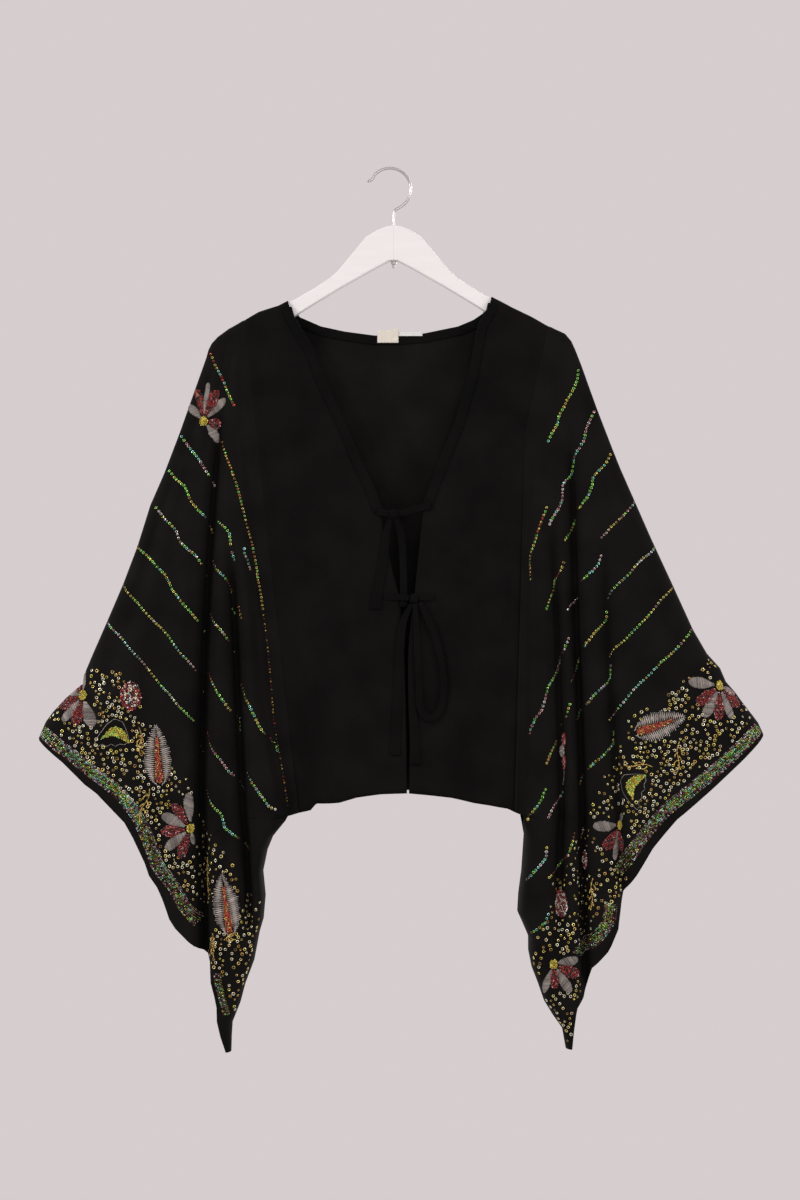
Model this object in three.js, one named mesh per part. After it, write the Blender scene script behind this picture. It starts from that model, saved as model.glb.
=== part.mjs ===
// Open-fronted blouse with wide embroidered sleeves, hanging on a wooden hanger.
// Millimetres. The origin is the hook seat, +Z is up, the front of the blouse faces -Y.
// "drop" is the distance below the hook seat. "out" is the distance from the middle towards a
// sleeve, so one table serves a left piece (x = -out) or a right piece (x = +out).

import * as THREE from 'three';

// Driving dimensions
const CLOTH = 1.2;
const SEAM_GAP = 0.3;
const SHOULDER_GAP = 0.4;
const SHOULDER_GAP_LENGTH = 9;
const HANGER_THICKNESS = 12;
const HANGER_ROUNDING = 1.5;
const HOOK_WIRE_RADIUS = 1.75;
const HOOK_RADIUS = 26;
const HOOK_TOP_X = -4.6;
const RIDGE_HEIGHT = 8;
const RIDGE_SQUARENESS = 4;
const FOLD_ROUNDNESS = 2.5;
const BAND_WIDTH = 9;
const BAND_WALL = 1;
const BAND_ROOM = 0.9;
const BAND_EDGE_ROOM = 1.7;
const TIE_THICKNESS = 1.2;

// Corners of the outline, as drops below the hook seat
const LEFT = { sign: -1, armholeTop: 188.5, cuffCorner: 709, hemCorner: 805 };
const RIGHT = { sign: 1, armholeTop: 196, cuffCorner: 704, hemCorner: 804 };
const CUFF_CORNER_SLOPE = 0.44;
const RIGHT_SEAM_END = 800;
const SEAM_TURN = 0.21;
const SEAM_TURN_DROP = RIGHT.armholeTop + (RIGHT_SEAM_END - RIGHT.armholeTop) * SEAM_TURN;
const JOIN_BELOW_HEM = 26;

const table = (columns, rows) => {
  const names = columns.split(' ');
  return rows.map((row) => Object.fromEntries(names.map((name, k) => [name, row[k]])));
};

// Outer outline of each sleeve: shoulder, top fold, cuff corner, cuff edge, tip. "peek" is how far
// the back layer's cuff edge shows past the front layer's.
LEFT.outer = table('drop out peek', [
  [188.5, 187, 0], [193.5, 196, 0], [199, 206, 0], [209, 219.6, 0], [217, 227, 0], [225, 231, 0],
  [234, 233.4, 0], [329, 267, 0], [379, 286, 0], [419, 303.4, 0], [471, 319.6, 0],
  [517, 337, 0], [567, 358.4, 0], [604, 374.6, 0], [625, 383.4, 0], [642, 387, 0],
  [659, 408, 0], [677, 424.6, 0], [689, 433.4, 0], [709, 442, 0], [737, 407, 0],
  [764, 381, 1], [775, 368.4, 3], [790, 356, 5], [811, 336, 5], [829, 326, 5], [861, 311, 5],
  [876, 307, 6], [891, 297, 6], [905, 291, 6], [930, 282, 6], [941, 274.6, 6], [957, 257, 4],
  [977, 234, 4], [985, 231, 4], [1010, 229.6, 4], [1026, 224.6, 3], [1041, 222, 3],
  [1059, 221, 2], [1079, 216, 1], [1100, 209, 0],
]);
RIGHT.outer = table('drop out peek', [
  [196, 194, 0], [201, 205.4, 0], [205, 214, 0], [214, 221.6, 0], [225, 226.6, 0],
  [244, 234, 0], [297, 253, 0], [349, 273, 0], [374, 283, 0], [462, 321.6, 0],
  [516, 346.6, 0], [574, 373, 0], [604, 390.4, 0], [622, 406.6, 0], [639, 414, 0],
  [652, 425.4, 0], [664, 434, 0], [682, 448, 0], [690, 454, 0], [704, 460.4, 0],
  [730, 434, 0], [765, 399, 2], [786, 376.6, 3], [807, 353, 4], [819, 343, 4], [844, 323, 4],
  [876, 303, 4], [897, 286.6, 3], [910, 284, 3], [932, 281.6, 4], [942, 280.4, 4],
  [962, 273, 5], [970, 269, 5], [992, 249, 4], [1011, 244, 4], [1029, 239, 4],
  [1042, 230.4, 3], [1051, 228, 2], [1069, 225, 1], [1096, 222, 0],
]);

// Inner boundary of each sleeve: the armhole seam down to the hem corner, then the joined edge
LEFT.inner = table('drop out', [
  [188.5, 186], [801, 118],
  [805, 131], [831, 151], [849, 158.4], [876, 164], [907, 161], [935, 163.4], [952, 168.4],
  [987, 175], [1016, 186], [1039, 192], [1064, 202], [1081, 203], [1100, 203.5],
]);
RIGHT.inner = table('drop out', [
  [196, 193], [SEAM_TURN_DROP, 164], [RIGHT_SEAM_END, 150], [804, 160],
  [830, 163.5], [876, 160.4], [905, 156.6], [926, 155.4], [937, 160.4], [957, 169],
  [975, 169], [995, 173], [1014, 180.4], [1036, 188], [1054, 199], [1071, 211], [1096, 215.5],
]);

// Where the sleeve's cloth comes forward off the body's depth
LEFT.step = table('drop out', [
  [190, 190], [300, 190], [394, 184], [487, 178], [662, 163], [787, 138], [805, 136],
]);
RIGHT.step = table('drop out', [[196, 197], [325, 170], [537, 165], [804, 163]]);
const STEP_WIDTH = 12;
const STEP_START = 0.33;

// Half depth of the sleeve and of the body, front to middle, and the width of the rounded edges
const SLEEVE_DEPTH = table('drop depth', [
  [190, 9.5], [230, 10], [300, 13], [400, 20], [487, 26], [600, 31], [706, 35], [962, 36],
  [1040, 24], [1100, 12],
]);
const BODY_DEPTH = table('drop depth', [[160, 9], [300, 10.5], [500, 13.5], [805, 16]]);
const EDGE_WIDTH = table('drop width', [[190, 14], [300, 30], [700, 60], [1100, 60]]);
const SHOULDER_EDGE_WIDTH = 3;
const JOINED_EDGE_WIDTH = 14;

// Hanging folds of the sleeves: a valley runs through three points, "reach" is the part of the
// half depth it takes, "width" its half width and "lean" how far its bottom lies to one side
const FOLD_COLUMNS = 'drop0 out0 drop1 out1 drop2 out2 width reach lean';
LEFT.frontFolds = table(FOLD_COLUMNS, [
  [290, 211, 626, 233, 962, 233, 8, 0.84, 4],
  [440, 202, 637, 192, 900, 180, 8, 0.68, 3],
  [400, 262, 640, 292, 880, 272, 18, 0.2, 0],
]);
LEFT.backFolds = table(FOLD_COLUMNS, [
  [300, 220, 600, 246, 980, 236, 9, 0.78, -4],
  [420, 196, 640, 186, 900, 184, 9, 0.6, -3],
  [480, 310, 660, 340, 840, 322, 16, 0.18, 0],
]);
RIGHT.frontFolds = table(FOLD_COLUMNS, [
  [300, 216, 662, 227, 985, 237, 8, 0.7, 4],
  [400, 191, 577, 200, 900, 206, 8, 0.5, 3],
  [420, 256, 662, 266, 897, 284, 8, 0.34, 3],
  [470, 306, 640, 340, 830, 322, 16, 0.14, 0],
]);
RIGHT.backFolds = table(FOLD_COLUMNS, [
  [300, 222, 640, 240, 985, 242, 9, 0.78, -4],
  [420, 192, 620, 198, 900, 200, 9, 0.55, -3],
  [480, 300, 660, 330, 840, 312, 16, 0.2, 0],
]);
const FOLD_START_FADE = 112;
const FOLD_END_FADE = 70;
const SHARP_FOLD_WIDTH = 12;
const OUTLINE_ROOM = 12;
const FOLD_COLUMN_STEPS = [1.8, 0.8, 0, -0.8, -1.8];

// Soft vertical folds of the plain panels: "depth" is how far the valley goes back. Each starts
// at "out0" at the drop "from" and is at "out1" by the hem.
const PANEL_FOLD_START = 140;
const PANEL_FOLD_END = 100;
const HEM_DROP = 805;
const FRONT_FOLDS = {
  [LEFT.sign]: table('out0 out1 from to width depth', [
    [150, 96, 560, 900, 9, 5], [120, 58, 300, 1100, 24, 2.5], [150, 118, 330, 700, 12, 2],
  ]),
  [RIGHT.sign]: table('out0 out1 from to width depth', [
    [120, 92, 350, 1100, 26, 2.5], [60, 44, 480, 1100, 16, 2],
  ]),
};
const BACK_FOLDS = table('out0 out1 from to width depth', [
  [-120, -96, 300, 1100, 26, 4], [-30, -20, 340, 1100, 30, 3], [70, 52, 300, 1100, 28, 4],
  [140, 120, 500, 1100, 18, 3],
]);

// Shoulder seams from the neck point outwards, centre edges downwards, neck curve left to right
LEFT.shoulder = table('out drop', [
  [132, 164], [143.4, 170], [159.6, 175], [168.4, 178], [177, 183], [186, 188.5],
]);
RIGHT.shoulder = table('out drop', [
  [122, 159], [134, 165], [148, 172.5], [171.6, 183.8], [180.4, 188.8], [193, 196],
]);
LEFT.centreEdge = table('drop out', [
  [164, 132], [185, 126], [196, 119.6], [222, 103.4], [267, 86], [317, 62], [365, 42],
  [402, 24.6], [430, 14.6], [462, 9.6], [500, 2], [535, -8], [600, -13], [690, -15.4],
  [777, -16.6],
]);
RIGHT.centreEdge = table('drop out', [
  [159, 122], [176, 118], [196, 106.6], [255, 96.6], [315, 79], [361, 60.4], [421, 37.9],
  [450, 34], [500, 29], [535, 25.4], [600, 23], [690, 20.6], [777, 19],
]);
LEFT.hem = table('out drop', [
  [-16.6, 777], [15, 778], [46, 782.5], [68, 789], [98, 790], [103, 798], [118, 801],
]);
RIGHT.hem = table('out drop', [[19, 777], [72, 782.5], [99, 789], [142, 796], [150, 800]]);
const BACK_NECK = table('out drop', [
  [-132, 164], [-119.6, 184], [-92, 196], [-62, 202.5], [-24.6, 207.5], [7.9, 207.5],
  [37.9, 205], [81.6, 196], [101.6, 187.5], [114, 179], [122, 159],
]);
const V_BOTTOM = { [LEFT.sign]: 430, [RIGHT.sign]: 421 };
const SHOULDER_SLOPE = 0.52;

// Rows of the plain panels below the shoulder seam, as fractions that start close together
const PANEL_ROWS = [
  0, 0.00025, 0.0013, 0.004, 0.012, 0.035, 0.075, 0.14, SEAM_TURN, 0.31, 0.43, 0.55, 0.7, 0.85, 1,
];

const clamp01 = (value) => Math.min(1, Math.max(0, value));
const mix = (a, b, s) => a + (b - a) * s;
const smooth = (value) => {
  const s = clamp01(value);
  return s * s * (3 - 2 * s);
};

// Straight-line reading of one column of a table, held at its ends
function read(rows, key, column, at) {
  const rising = rows[rows.length - 1][key] >= rows[0][key];
  const next = rows.findIndex((row) => (rising ? row[key] >= at : row[key] <= at));
  if (next === 0) return rows[0][column];
  if (next < 0) return rows[rows.length - 1][column];
  const a = rows[next - 1];
  const b = rows[next];
  return mix(a[column], b[column], (at - a[key]) / (b[key] - a[key]));
}

// Rounded shoulder of a curve: 0 at the edge, 1 from one width in
const roundedEdge = (s, power) => (1 - (1 - clamp01(s)) ** power) ** (1 / power);

// Parabola through the three points of a fold
function foldOut(fold, drop) {
  const { drop0, drop1, drop2, out0, out1, out2 } = fold;
  const at = Math.min(drop2, Math.max(drop0, drop));
  const a = ((at - drop1) * (at - drop2)) / ((drop0 - drop1) * (drop0 - drop2));
  const b = ((at - drop0) * (at - drop2)) / ((drop1 - drop0) * (drop1 - drop2));
  const c = ((at - drop0) * (at - drop1)) / ((drop2 - drop0) * (drop2 - drop1));
  return a * out0 + b * out1 + c * out2;
}

function foldStrength(fold, drop) {
  const start = smooth((drop - fold.drop0) / FOLD_START_FADE);
  const end = smooth((fold.drop2 + FOLD_END_FADE - drop) / FOLD_END_FADE);
  return start * end;
}

const bell = (distance) => Math.exp(-distance * distance);

function softFolds(folds, out, drop) {
  let depth = 0;
  for (const fold of folds) {
    const middle = mix(fold.out0, fold.out1, clamp01((drop - fold.from) / (HEM_DROP - fold.from)));
    const strength = smooth((drop - fold.from) / PANEL_FOLD_START)
      * smooth((fold.to - drop) / PANEL_FOLD_END);
    depth += fold.depth * strength * bell((out - middle) / fold.width);
  }
  return depth;
}

// Depth of the body panels in front of or behind the middle plane; "below" is measured from the
// shoulder seam, over which both panels turn
function bodyDepth(drop, below) {
  const half = read(BODY_DEPTH, 'drop', 'depth', drop);
  return Math.max(SEAM_GAP / 2, half * roundedEdge(below / RIDGE_HEIGHT, RIDGE_SQUARENESS));
}

// A sheet is a list of points and triangles; a grid of rows is added to it facing one way
class Sheet {
  constructor() {
    this.points = [];
    this.triangles = [];
    this.index = new Map();
  }

  add(point) {
    const key = point.toArray().map((value) => Math.round(value * 5000)).join(' ');
    if (!this.index.has(key)) {
      this.index.set(key, this.points.length);
      this.points.push(point);
    }
    return this.index.get(key);
  }

  triangle(a, b, c) {
    if (a !== b && b !== c && c !== a) this.triangles.push([a, b, c]);
  }

  grid(rows, flipped) {
    const ids = rows.map((row) => row.map((point) => this.add(point)));
    for (let i = 0; i + 1 < ids.length; i += 1) {
      for (let j = 0; j + 1 < ids[i].length; j += 1) {
        const [a, b, c, d] = [ids[i][j], ids[i][j + 1], ids[i + 1][j + 1], ids[i + 1][j]];
        if (flipped) {
          this.triangle(a, c, b);
          this.triangle(a, d, c);
        } else {
          this.triangle(a, b, c);
          this.triangle(a, c, d);
        }
      }
    }
  }
}

function geometryOf(points, triangles) {
  let volume = 0;
  for (const [a, b, c] of triangles) {
    volume += points[a].dot(new THREE.Vector3().crossVectors(points[b], points[c]));
  }
  const outward = volume > 0 ? triangles : triangles.map(([a, b, c]) => [a, c, b]);
  const geometry = new THREE.BufferGeometry();
  geometry.setAttribute(
    'position',
    new THREE.Float32BufferAttribute(points.flatMap((point) => point.toArray()), 3),
  );
  geometry.setIndex(outward.flat());
  geometry.computeVertexNormals();
  return geometry;
}

// Closed cloth wall: the sheet's points moved half the thickness each way along their normals,
// and a strip of wall along every free edge
function wall(sheet, thickness) {
  const normals = sheet.points.map(() => new THREE.Vector3());
  const edges = new Map();
  for (const [a, b, c] of sheet.triangles) {
    const ab = new THREE.Vector3().subVectors(sheet.points[b], sheet.points[a]);
    const ac = new THREE.Vector3().subVectors(sheet.points[c], sheet.points[a]);
    const normal = ab.cross(ac);
    for (const corner of [a, b, c]) normals[corner].add(normal);
    for (const [from, to] of [[a, b], [b, c], [c, a]]) {
      const back = `${to} ${from}`;
      if (edges.has(back)) edges.delete(back);
      else edges.set(`${from} ${to}`, [from, to]);
    }
  }
  const count = sheet.points.length;
  const moved = (side) => sheet.points.map((point, k) => (
    point.clone().addScaledVector(normals[k].clone().normalize(), (side * thickness) / 2)
  ));
  const points = [...moved(1), ...moved(-1)];
  const triangles = sheet.triangles.flatMap(([a, b, c]) => [
    [a, b, c], [a + count, c + count, b + count],
  ]);
  for (const [from, to] of edges.values()) {
    triangles.push([to, from, from + count], [to, from + count, to + count]);
  }
  return geometryOf(points, triangles);
}

// Closed solid through equal rings of points, its ends filled with the profile's own triangles
function loft(rings, capTriangles) {
  const size = rings[0].length;
  const triangles = [];
  for (let i = 0; i + 1 < rings.length; i += 1) {
    for (let j = 0; j < size; j += 1) {
      const k = (j + 1) % size;
      const [a, b, c, d] = [i * size + j, i * size + k, (i + 1) * size + k, (i + 1) * size + j];
      triangles.push([a, b, c], [a, c, d]);
    }
  }
  const last = (rings.length - 1) * size;
  for (const [a, b, c] of capTriangles) {
    triangles.push([a, c, b], [a + last, b + last, c + last]);
  }
  return geometryOf(rings.flat(), triangles);
}

// Sleeves: horizontal levels, each a row of points from the outer outline to the inner boundary

const LEVELS = {
  [LEFT.sign]: [
    188.5, 189.1, 190.5, 195, 203, 213, 225, 245, 285, 329, 379, 425, 471, 517, 567, 610, 642, 665,
    689, 709, 737, 764, 790, 801, 805, 831, 861, 891, 920, 941, 957, 977, 985, 1010, 1041, 1070,
    1100,
  ],
  [RIGHT.sign]: [
    196, 196.6, 198, 201, 207, 214, 225, 250, 285, SEAM_TURN_DROP, 374, 418, 462, 516, 574, 604,
    639, 664, 690, 704, 730, 765, 786, 800, 804, 830, 860, 897, 932, 962, 975, 992, 1020, 1042,
    1069, 1096,
  ],
};

function sleeveEdges(side, drop, isFront) {
  const peek = isFront ? read(side.outer, 'drop', 'peek', drop) : 0;
  const belowTop = (drop - side.armholeTop) / SHOULDER_GAP_LENGTH;
  const gap = SEAM_GAP / 2 + SHOULDER_GAP * (1 - smooth(belowTop));
  return {
    outer: read(side.outer, 'drop', 'out', drop) - peek,
    inner: read(side.inner, 'drop', 'out', drop) + (drop < side.hemCorner ? gap : 0),
  };
}

// The top fold's line, continued straight below the cuff corner where the sleeve is open
function topFoldOut(side, drop) {
  const onFold = read(side.outer, 'drop', 'out', Math.min(drop, side.cuffCorner));
  return onFold + Math.max(0, drop - side.cuffCorner) * CUFF_CORNER_SLOPE;
}

function sleevePoint(side, folds, isFront, drop, out) {
  const { inner } = sleeveEdges(side, drop, isFront);
  const edgeWidth = read(EDGE_WIDTH, 'drop', 'width', drop);
  const joined = clamp01((drop - side.hemCorner) / JOIN_BELOW_HEM);
  const fromJoin = roundedEdge((out - inner) / JOINED_EDGE_WIDTH, FOLD_ROUNDNESS);
  const fullDepth = read(SLEEVE_DEPTH, 'drop', 'depth', drop)
    * roundedEdge((topFoldOut(side, drop) - out) / edgeWidth, FOLD_ROUNDNESS)
    * mix(1, fromJoin, joined);
  let depth = fullDepth;
  let lean = 0;
  for (const fold of folds) {
    const strength = foldStrength(fold, drop) * bell((out - foldOut(fold, drop)) / fold.width);
    depth -= fullDepth * fold.reach * strength;
    lean += fold.lean * strength * (1 - joined);
  }
  const step = read(side.step, 'drop', 'out', drop);
  const forward = smooth((out - step) / STEP_WIDTH + STEP_START);
  const onBody = bodyDepth(drop, drop - side.armholeTop)
    * roundedEdge((topFoldOut(side, drop) - out) / SHOULDER_EDGE_WIDTH, FOLD_ROUNDNESS);
  const y = mix(drop > side.hemCorner + 1 ? depth : onBody, depth, forward);
  const edgeRoom = clamp01((out - inner) / OUTLINE_ROOM)
    * clamp01((topFoldOut(side, drop) - out) / OUTLINE_ROOM);
  return new THREE.Vector3(
    side.sign * (out + lean * edgeRoom),
    isFront ? -y : y,
    -drop - CLOTH / 2,
  );
}

function sleeveLevel(side, folds, isFront, drop) {
  const { outer, inner } = sleeveEdges(side, drop, isFront);
  const step = read(side.step, 'drop', 'out', drop);
  const deep = folds.filter((fold) => fold.width < SHARP_FOLD_WIDTH);
  const soft = folds.filter((fold) => fold.width >= SHARP_FOLD_WIDTH);
  const wanted = [outer, outer - 3, outer - 12, inner + 12, inner + 4, inner, step + 8, step + 1];
  for (const fold of deep) {
    const middle = foldOut(fold, drop);
    wanted.push(...FOLD_COLUMN_STEPS.map((at) => middle + at * fold.width));
  }
  for (const fold of soft) {
    const middle = foldOut(fold, drop);
    wanted.push(middle + fold.width, middle - fold.width / 2);
  }
  const columns = wanted.map((out) => Math.min(outer, Math.max(inner, out)));
  columns.sort((a, b) => b - a);
  return columns.map((out) => sleevePoint(side, folds, isFront, drop, out));
}

function sleeve(side) {
  const sheet = new Sheet();
  const levels = LEVELS[side.sign];
  sheet.grid(levels.map((drop) => sleeveLevel(side, side.frontFolds, true, drop)), false);
  sheet.grid(levels.map((drop) => sleeveLevel(side, side.backFolds, false, drop)), true);
  return wall(sheet, CLOTH);
}

// Plain panels: a row runs from the shoulder seam (0) to the hem (1), "across" from edge to edge

const SHOULDER_REACH = 6;
const HEM_REACH = 6;
const BACK_NECK_REACH = 1.5;
const BACK_HEM_REACH = 3;
const BACK_HEM_LIFT = 1;

// Folds fade out towards the two side edges of a panel
const awayFromEdges = (across) => smooth(across * 8) * smooth((1 - across) * 8);

function frontPoint(side, row, across) {
  const neck = side.shoulder[0];
  const hemInner = side.hem[0];
  const dropIn = mix(neck.drop, hemInner.drop, row);
  const dropSeam = mix(side.armholeTop, side.hem[side.hem.length - 1].drop, row);
  const outIn = read(side.centreEdge, 'drop', 'out', dropIn);
  const outSeam = read(side.inner, 'drop', 'out', dropSeam) - SEAM_GAP / 2;
  const out = mix(outIn, outSeam, across);
  const topOut = mix(neck.out, side.inner[0].out, across);
  const topRise = read(side.shoulder, 'out', 'drop', topOut) - mix(neck.drop, side.armholeTop, across);
  const hemOut = mix(hemInner.out, side.hem[side.hem.length - 1].out, across);
  const hemRise = read(side.hem, 'out', 'drop', hemOut)
    - mix(hemInner.drop, side.hem[side.hem.length - 1].drop, across);
  const drop = mix(dropIn, dropSeam, across) + topRise * (1 - row) ** SHOULDER_REACH
    + hemRise * row ** HEM_REACH;
  const below = row * (hemInner.drop - neck.drop);
  const y = bodyDepth(drop, below) - softFolds(FRONT_FOLDS[side.sign], out, drop)
    * awayFromEdges(across);
  return new THREE.Vector3(side.sign * out, -y, -drop - CLOTH / 2);
}

function frontPanel(side) {
  const columns = 12;
  const across = Array.from({ length: columns + 1 }, (_, k) => k / columns);
  const sheet = new Sheet();
  sheet.grid(PANEL_ROWS.map((row) => across.map((s) => frontPoint(side, row, s))), false);
  return wall(sheet, CLOTH);
}

// Height of the shoulder line, carried on along the hanger inside the neck
function ridgeDrop(x) {
  const side = x < 0 ? LEFT : RIGHT;
  const neck = side.shoulder[0];
  const out = Math.abs(x);
  const inside = Math.max(0, neck.out - out) * SHOULDER_SLOPE;
  return read(side.shoulder, 'out', 'drop', Math.max(out, neck.out)) - inside;
}

function backTopDrop(x) {
  const onShoulder = x < BACK_NECK[0].out || x > BACK_NECK[BACK_NECK.length - 1].out;
  return onShoulder ? ridgeDrop(x) : read(BACK_NECK, 'out', 'drop', x);
}

function backHemDrop(x) {
  const side = x < 0 ? LEFT : RIGHT;
  return read(side.hem, 'out', 'drop', Math.abs(x)) - BACK_HEM_LIFT;
}

function backSurface(x, drop, ridgeX = x) {
  const below = drop - ridgeDrop(ridgeX);
  const folds = softFolds(BACK_FOLDS, x, drop);
  return new THREE.Vector3(x, bodyDepth(drop, below) - folds, -drop - CLOTH / 2);
}

const BACK_COLUMNS = [
  -186, -177, -160, -143, -132, -131.3, -129.5, -126, -119.6, -106, -92, -62, -43, -24.6, 7.9, 37.9,
  60, 81.6, 101.6, 114, 119, 121.2, 122, 134, 148, 171.6, 180.4, 193,
];

function backPoint(topX, row) {
  const atLeft = BACK_COLUMNS[0];
  const atRight = BACK_COLUMNS[BACK_COLUMNS.length - 1];
  const across = (topX - atLeft) / (atRight - atLeft);
  const dropLeft = mix(LEFT.armholeTop, LEFT.hem[LEFT.hem.length - 1].drop, row);
  const dropRight = mix(RIGHT.armholeTop, RIGHT.hem[RIGHT.hem.length - 1].drop, row);
  const seamLeft = -read(LEFT.inner, 'drop', 'out', dropLeft) + SEAM_GAP / 2;
  const seamRight = read(RIGHT.inner, 'drop', 'out', dropRight) - SEAM_GAP / 2;
  const x = mix(seamLeft, seamRight, across);
  const top = backTopDrop(topX);
  const shift = mix(LEFT.armholeTop, RIGHT.armholeTop, across);
  const sideDrop = mix(dropLeft, dropRight, across);
  const hemX = mix(-LEFT.hem[LEFT.hem.length - 1].out, RIGHT.hem[RIGHT.hem.length - 1].out, across);
  const hemShift = backHemDrop(hemX) - mix(dropAtHem(LEFT), dropAtHem(RIGHT), across);
  const drop = sideDrop + (top - shift) * (1 - row) ** BACK_NECK_REACH
    + hemShift * row ** BACK_HEM_REACH * awayFromEdges(across);
  return backSurface(x, drop, topX);
}

function dropAtHem(side) {
  return side.hem[side.hem.length - 1].drop;
}

function backPanel() {
  const sheet = new Sheet();
  sheet.grid(PANEL_ROWS.map((row) => BACK_COLUMNS.map((topX) => backPoint(topX, row))), true);
  return wall(sheet, CLOTH);
}

// Binding: a folded strip with a U section, carried along a cut edge of a panel.
// "in" is the distance from the edge into the cloth, "lift" the distance off its middle surface.
const BAND_PROFILE = table('in lift', [
  [BAND_WIDTH, BAND_ROOM + BAND_WALL], [-BAND_EDGE_ROOM - BAND_WALL, BAND_ROOM + BAND_WALL],
  [-BAND_EDGE_ROOM - BAND_WALL, -BAND_ROOM - BAND_WALL], [BAND_WIDTH, -BAND_ROOM - BAND_WALL],
  [BAND_WIDTH, -BAND_ROOM], [-BAND_EDGE_ROOM, -BAND_ROOM], [-BAND_EDGE_ROOM, BAND_ROOM],
  [BAND_WIDTH, BAND_ROOM],
]);

function band(edge, surface, towards) {
  const profile = BAND_PROFILE.map((corner) => new THREE.Vector2(corner.in, corner.lift));
  const caps = THREE.ShapeUtils.triangulateShape(profile, []);
  const rings = edge.map((point, k) => {
    const before = edge[Math.max(0, k - 1)];
    const after = edge[Math.min(edge.length - 1, k + 1)];
    const along = new THREE.Vector2().subVectors(after, before).normalize();
    const inwards = new THREE.Vector2(-along.y, along.x).multiplyScalar(towards);
    return profile.map((corner) => {
      const x = point.x + inwards.x * corner.x;
      const drop = point.y + inwards.y * corner.x;
      const onCloth = surface(point.x + inwards.x * Math.max(0, corner.x), drop);
      return new THREE.Vector3(x, onCloth.y - corner.y, -drop - CLOTH / 2);
    });
  });
  return loft(rings, caps);
}

function frontSurface(side, out, drop) {
  const depth = bodyDepth(drop, RIDGE_HEIGHT);
  return new THREE.Vector3(side.sign * out, -depth, -drop - CLOTH / 2);
}

// Where each binding starts and ends short of the shoulder seams and the ties
const BAND_TOP_ROOM = 8.5;
const BAND_BOTTOM_ROOM = 4;
const BACK_BAND_LEFT_ROOM = 6;
const BACK_BAND_RIGHT_ROOM = 4.5;

function frontBand(side) {
  const start = side.centreEdge[0].drop + BAND_TOP_ROOM;
  const end = V_BOTTOM[side.sign] - BAND_BOTTOM_ROOM;
  const steps = 18;
  const edge = Array.from({ length: steps + 1 }, (_, k) => {
    const drop = mix(start, end, k / steps);
    return new THREE.Vector2(side.sign * read(side.centreEdge, 'drop', 'out', drop), drop);
  });
  return band(edge, (x, drop) => frontSurface(side, Math.abs(x), drop), -side.sign);
}

function backBand() {
  const start = BACK_NECK[0].out + BACK_BAND_LEFT_ROOM;
  const end = BACK_NECK[BACK_NECK.length - 1].out - BACK_BAND_RIGHT_ROOM;
  const steps = 26;
  const edge = Array.from({ length: steps + 1 }, (_, k) => {
    const x = mix(start, end, k / steps);
    return new THREE.Vector2(x, read(BACK_NECK, 'out', 'drop', x));
  });
  return band(edge, (x, drop) => backSurface(x, Math.max(drop, backTopDrop(x))), 1);
}

// Ties: flat strips that face the front, through points with a width and a lift off the body

const tieDepth = (drop, lift) => bodyDepth(drop, RIDGE_HEIGHT) + CLOTH / 2 + lift;

function strip(route) {
  const middles = route.map((p) => new THREE.Vector3(p.x, -tieDepth(p.drop, p.lift), -p.drop));
  const curve = new THREE.CatmullRomCurve3(middles, false, 'centripetal');
  const steps = 4 * (route.length - 1);
  const rings = Array.from({ length: steps + 1 }, (_, k) => {
    const at = k / steps;
    const centre = curve.getPoint(at);
    const along = curve.getTangent(at);
    const across = new THREE.Vector3(along.z, 0, -along.x).normalize();
    const face = new THREE.Vector3().crossVectors(across, along).normalize();
    const place = at * (route.length - 1);
    const from = route[Math.floor(place)];
    const to = route[Math.min(route.length - 1, Math.floor(place) + 1)];
    const half = mix(from.width, to.width, place - Math.floor(place)) / 2;
    return [[-1, -1], [1, -1], [1, 1], [-1, 1]].map(([u, v]) => centre.clone()
      .addScaledVector(across, u * half)
      .addScaledVector(face, (v * TIE_THICKNESS) / 2));
  });
  return loft(rings, [[0, 1, 2], [0, 2, 3]]);
}

const ROUTE = 'x drop lift width';
const TIES = {
  tie_upper_strap_left: table(ROUTE, [[-21, 428, 2.3, 9], [-13, 429, 2.8, 8], [-6.95, 430.5, 4.4, 7]]),
  tie_upper_strap_right: table(ROUTE, [
    [46, 420, 2.3, 9], [30, 424, 2.4, 8], [16, 428, 3, 8], [5.6, 430, 4.4, 7],
  ]),
  tie_upper_tail_left: table(ROUTE, [
    [-4.4, 437.4, 4.4, 6], [-9, 455, 2, 9], [-13, 490, 1.1, 11], [-20, 525, 1, 13],
    [-22, 549, 1, 14],
  ]),
  tie_upper_tail_right: table(ROUTE, [
    [3.4, 437.4, 4.4, 6], [9, 455, 2, 8], [12, 500, 1.1, 8.5], [12.6, 546, 1, 9],
  ]),
  tie_lower_strap_left: table(ROUTE, [
    [-12, 534, 1, 8], [-2, 534, 1.4, 8], [7, 534, 3, 8], [19, 535, 4.6, 7],
  ]),
  tie_lower_strap_right: table(ROUTE, [[50, 533, 0.9, 8], [42, 534, 1.4, 8], [31.7, 535, 4.6, 7]]),
  tie_lower_loop: table(ROUTE, [
    [32.4, 540.6, 6, 6], [40, 556, 3.6, 8], [52, 585, 2, 9], [61, 625, 1.4, 9], [62, 655, 1.2, 9],
    [56, 676, 1.2, 9], [44, 684, 1.4, 9], [34, 674, 2.6, 9], [31, 640, 3, 8],
    [29, 590, 4.4, 8], [26.4, 541.9, 6.9, 6],
  ]),
  tie_lower_tail_left: table(ROUTE, [
    [22.4, 542.3, 5.1, 5], [12, 565, 3, 9], [6, 638, 1.4, 11], [3, 700, 1, 12], [2, 730, 1, 13],
  ]),
  tie_lower_tail_right: table(ROUTE, [
    [26.4, 542, 3.4, 5], [22.6, 594, 1.4, 8], [23.4, 666, 1, 10], [26, 710, 1, 12],
    [27, 742, 1, 13],
  ]),
};

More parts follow.
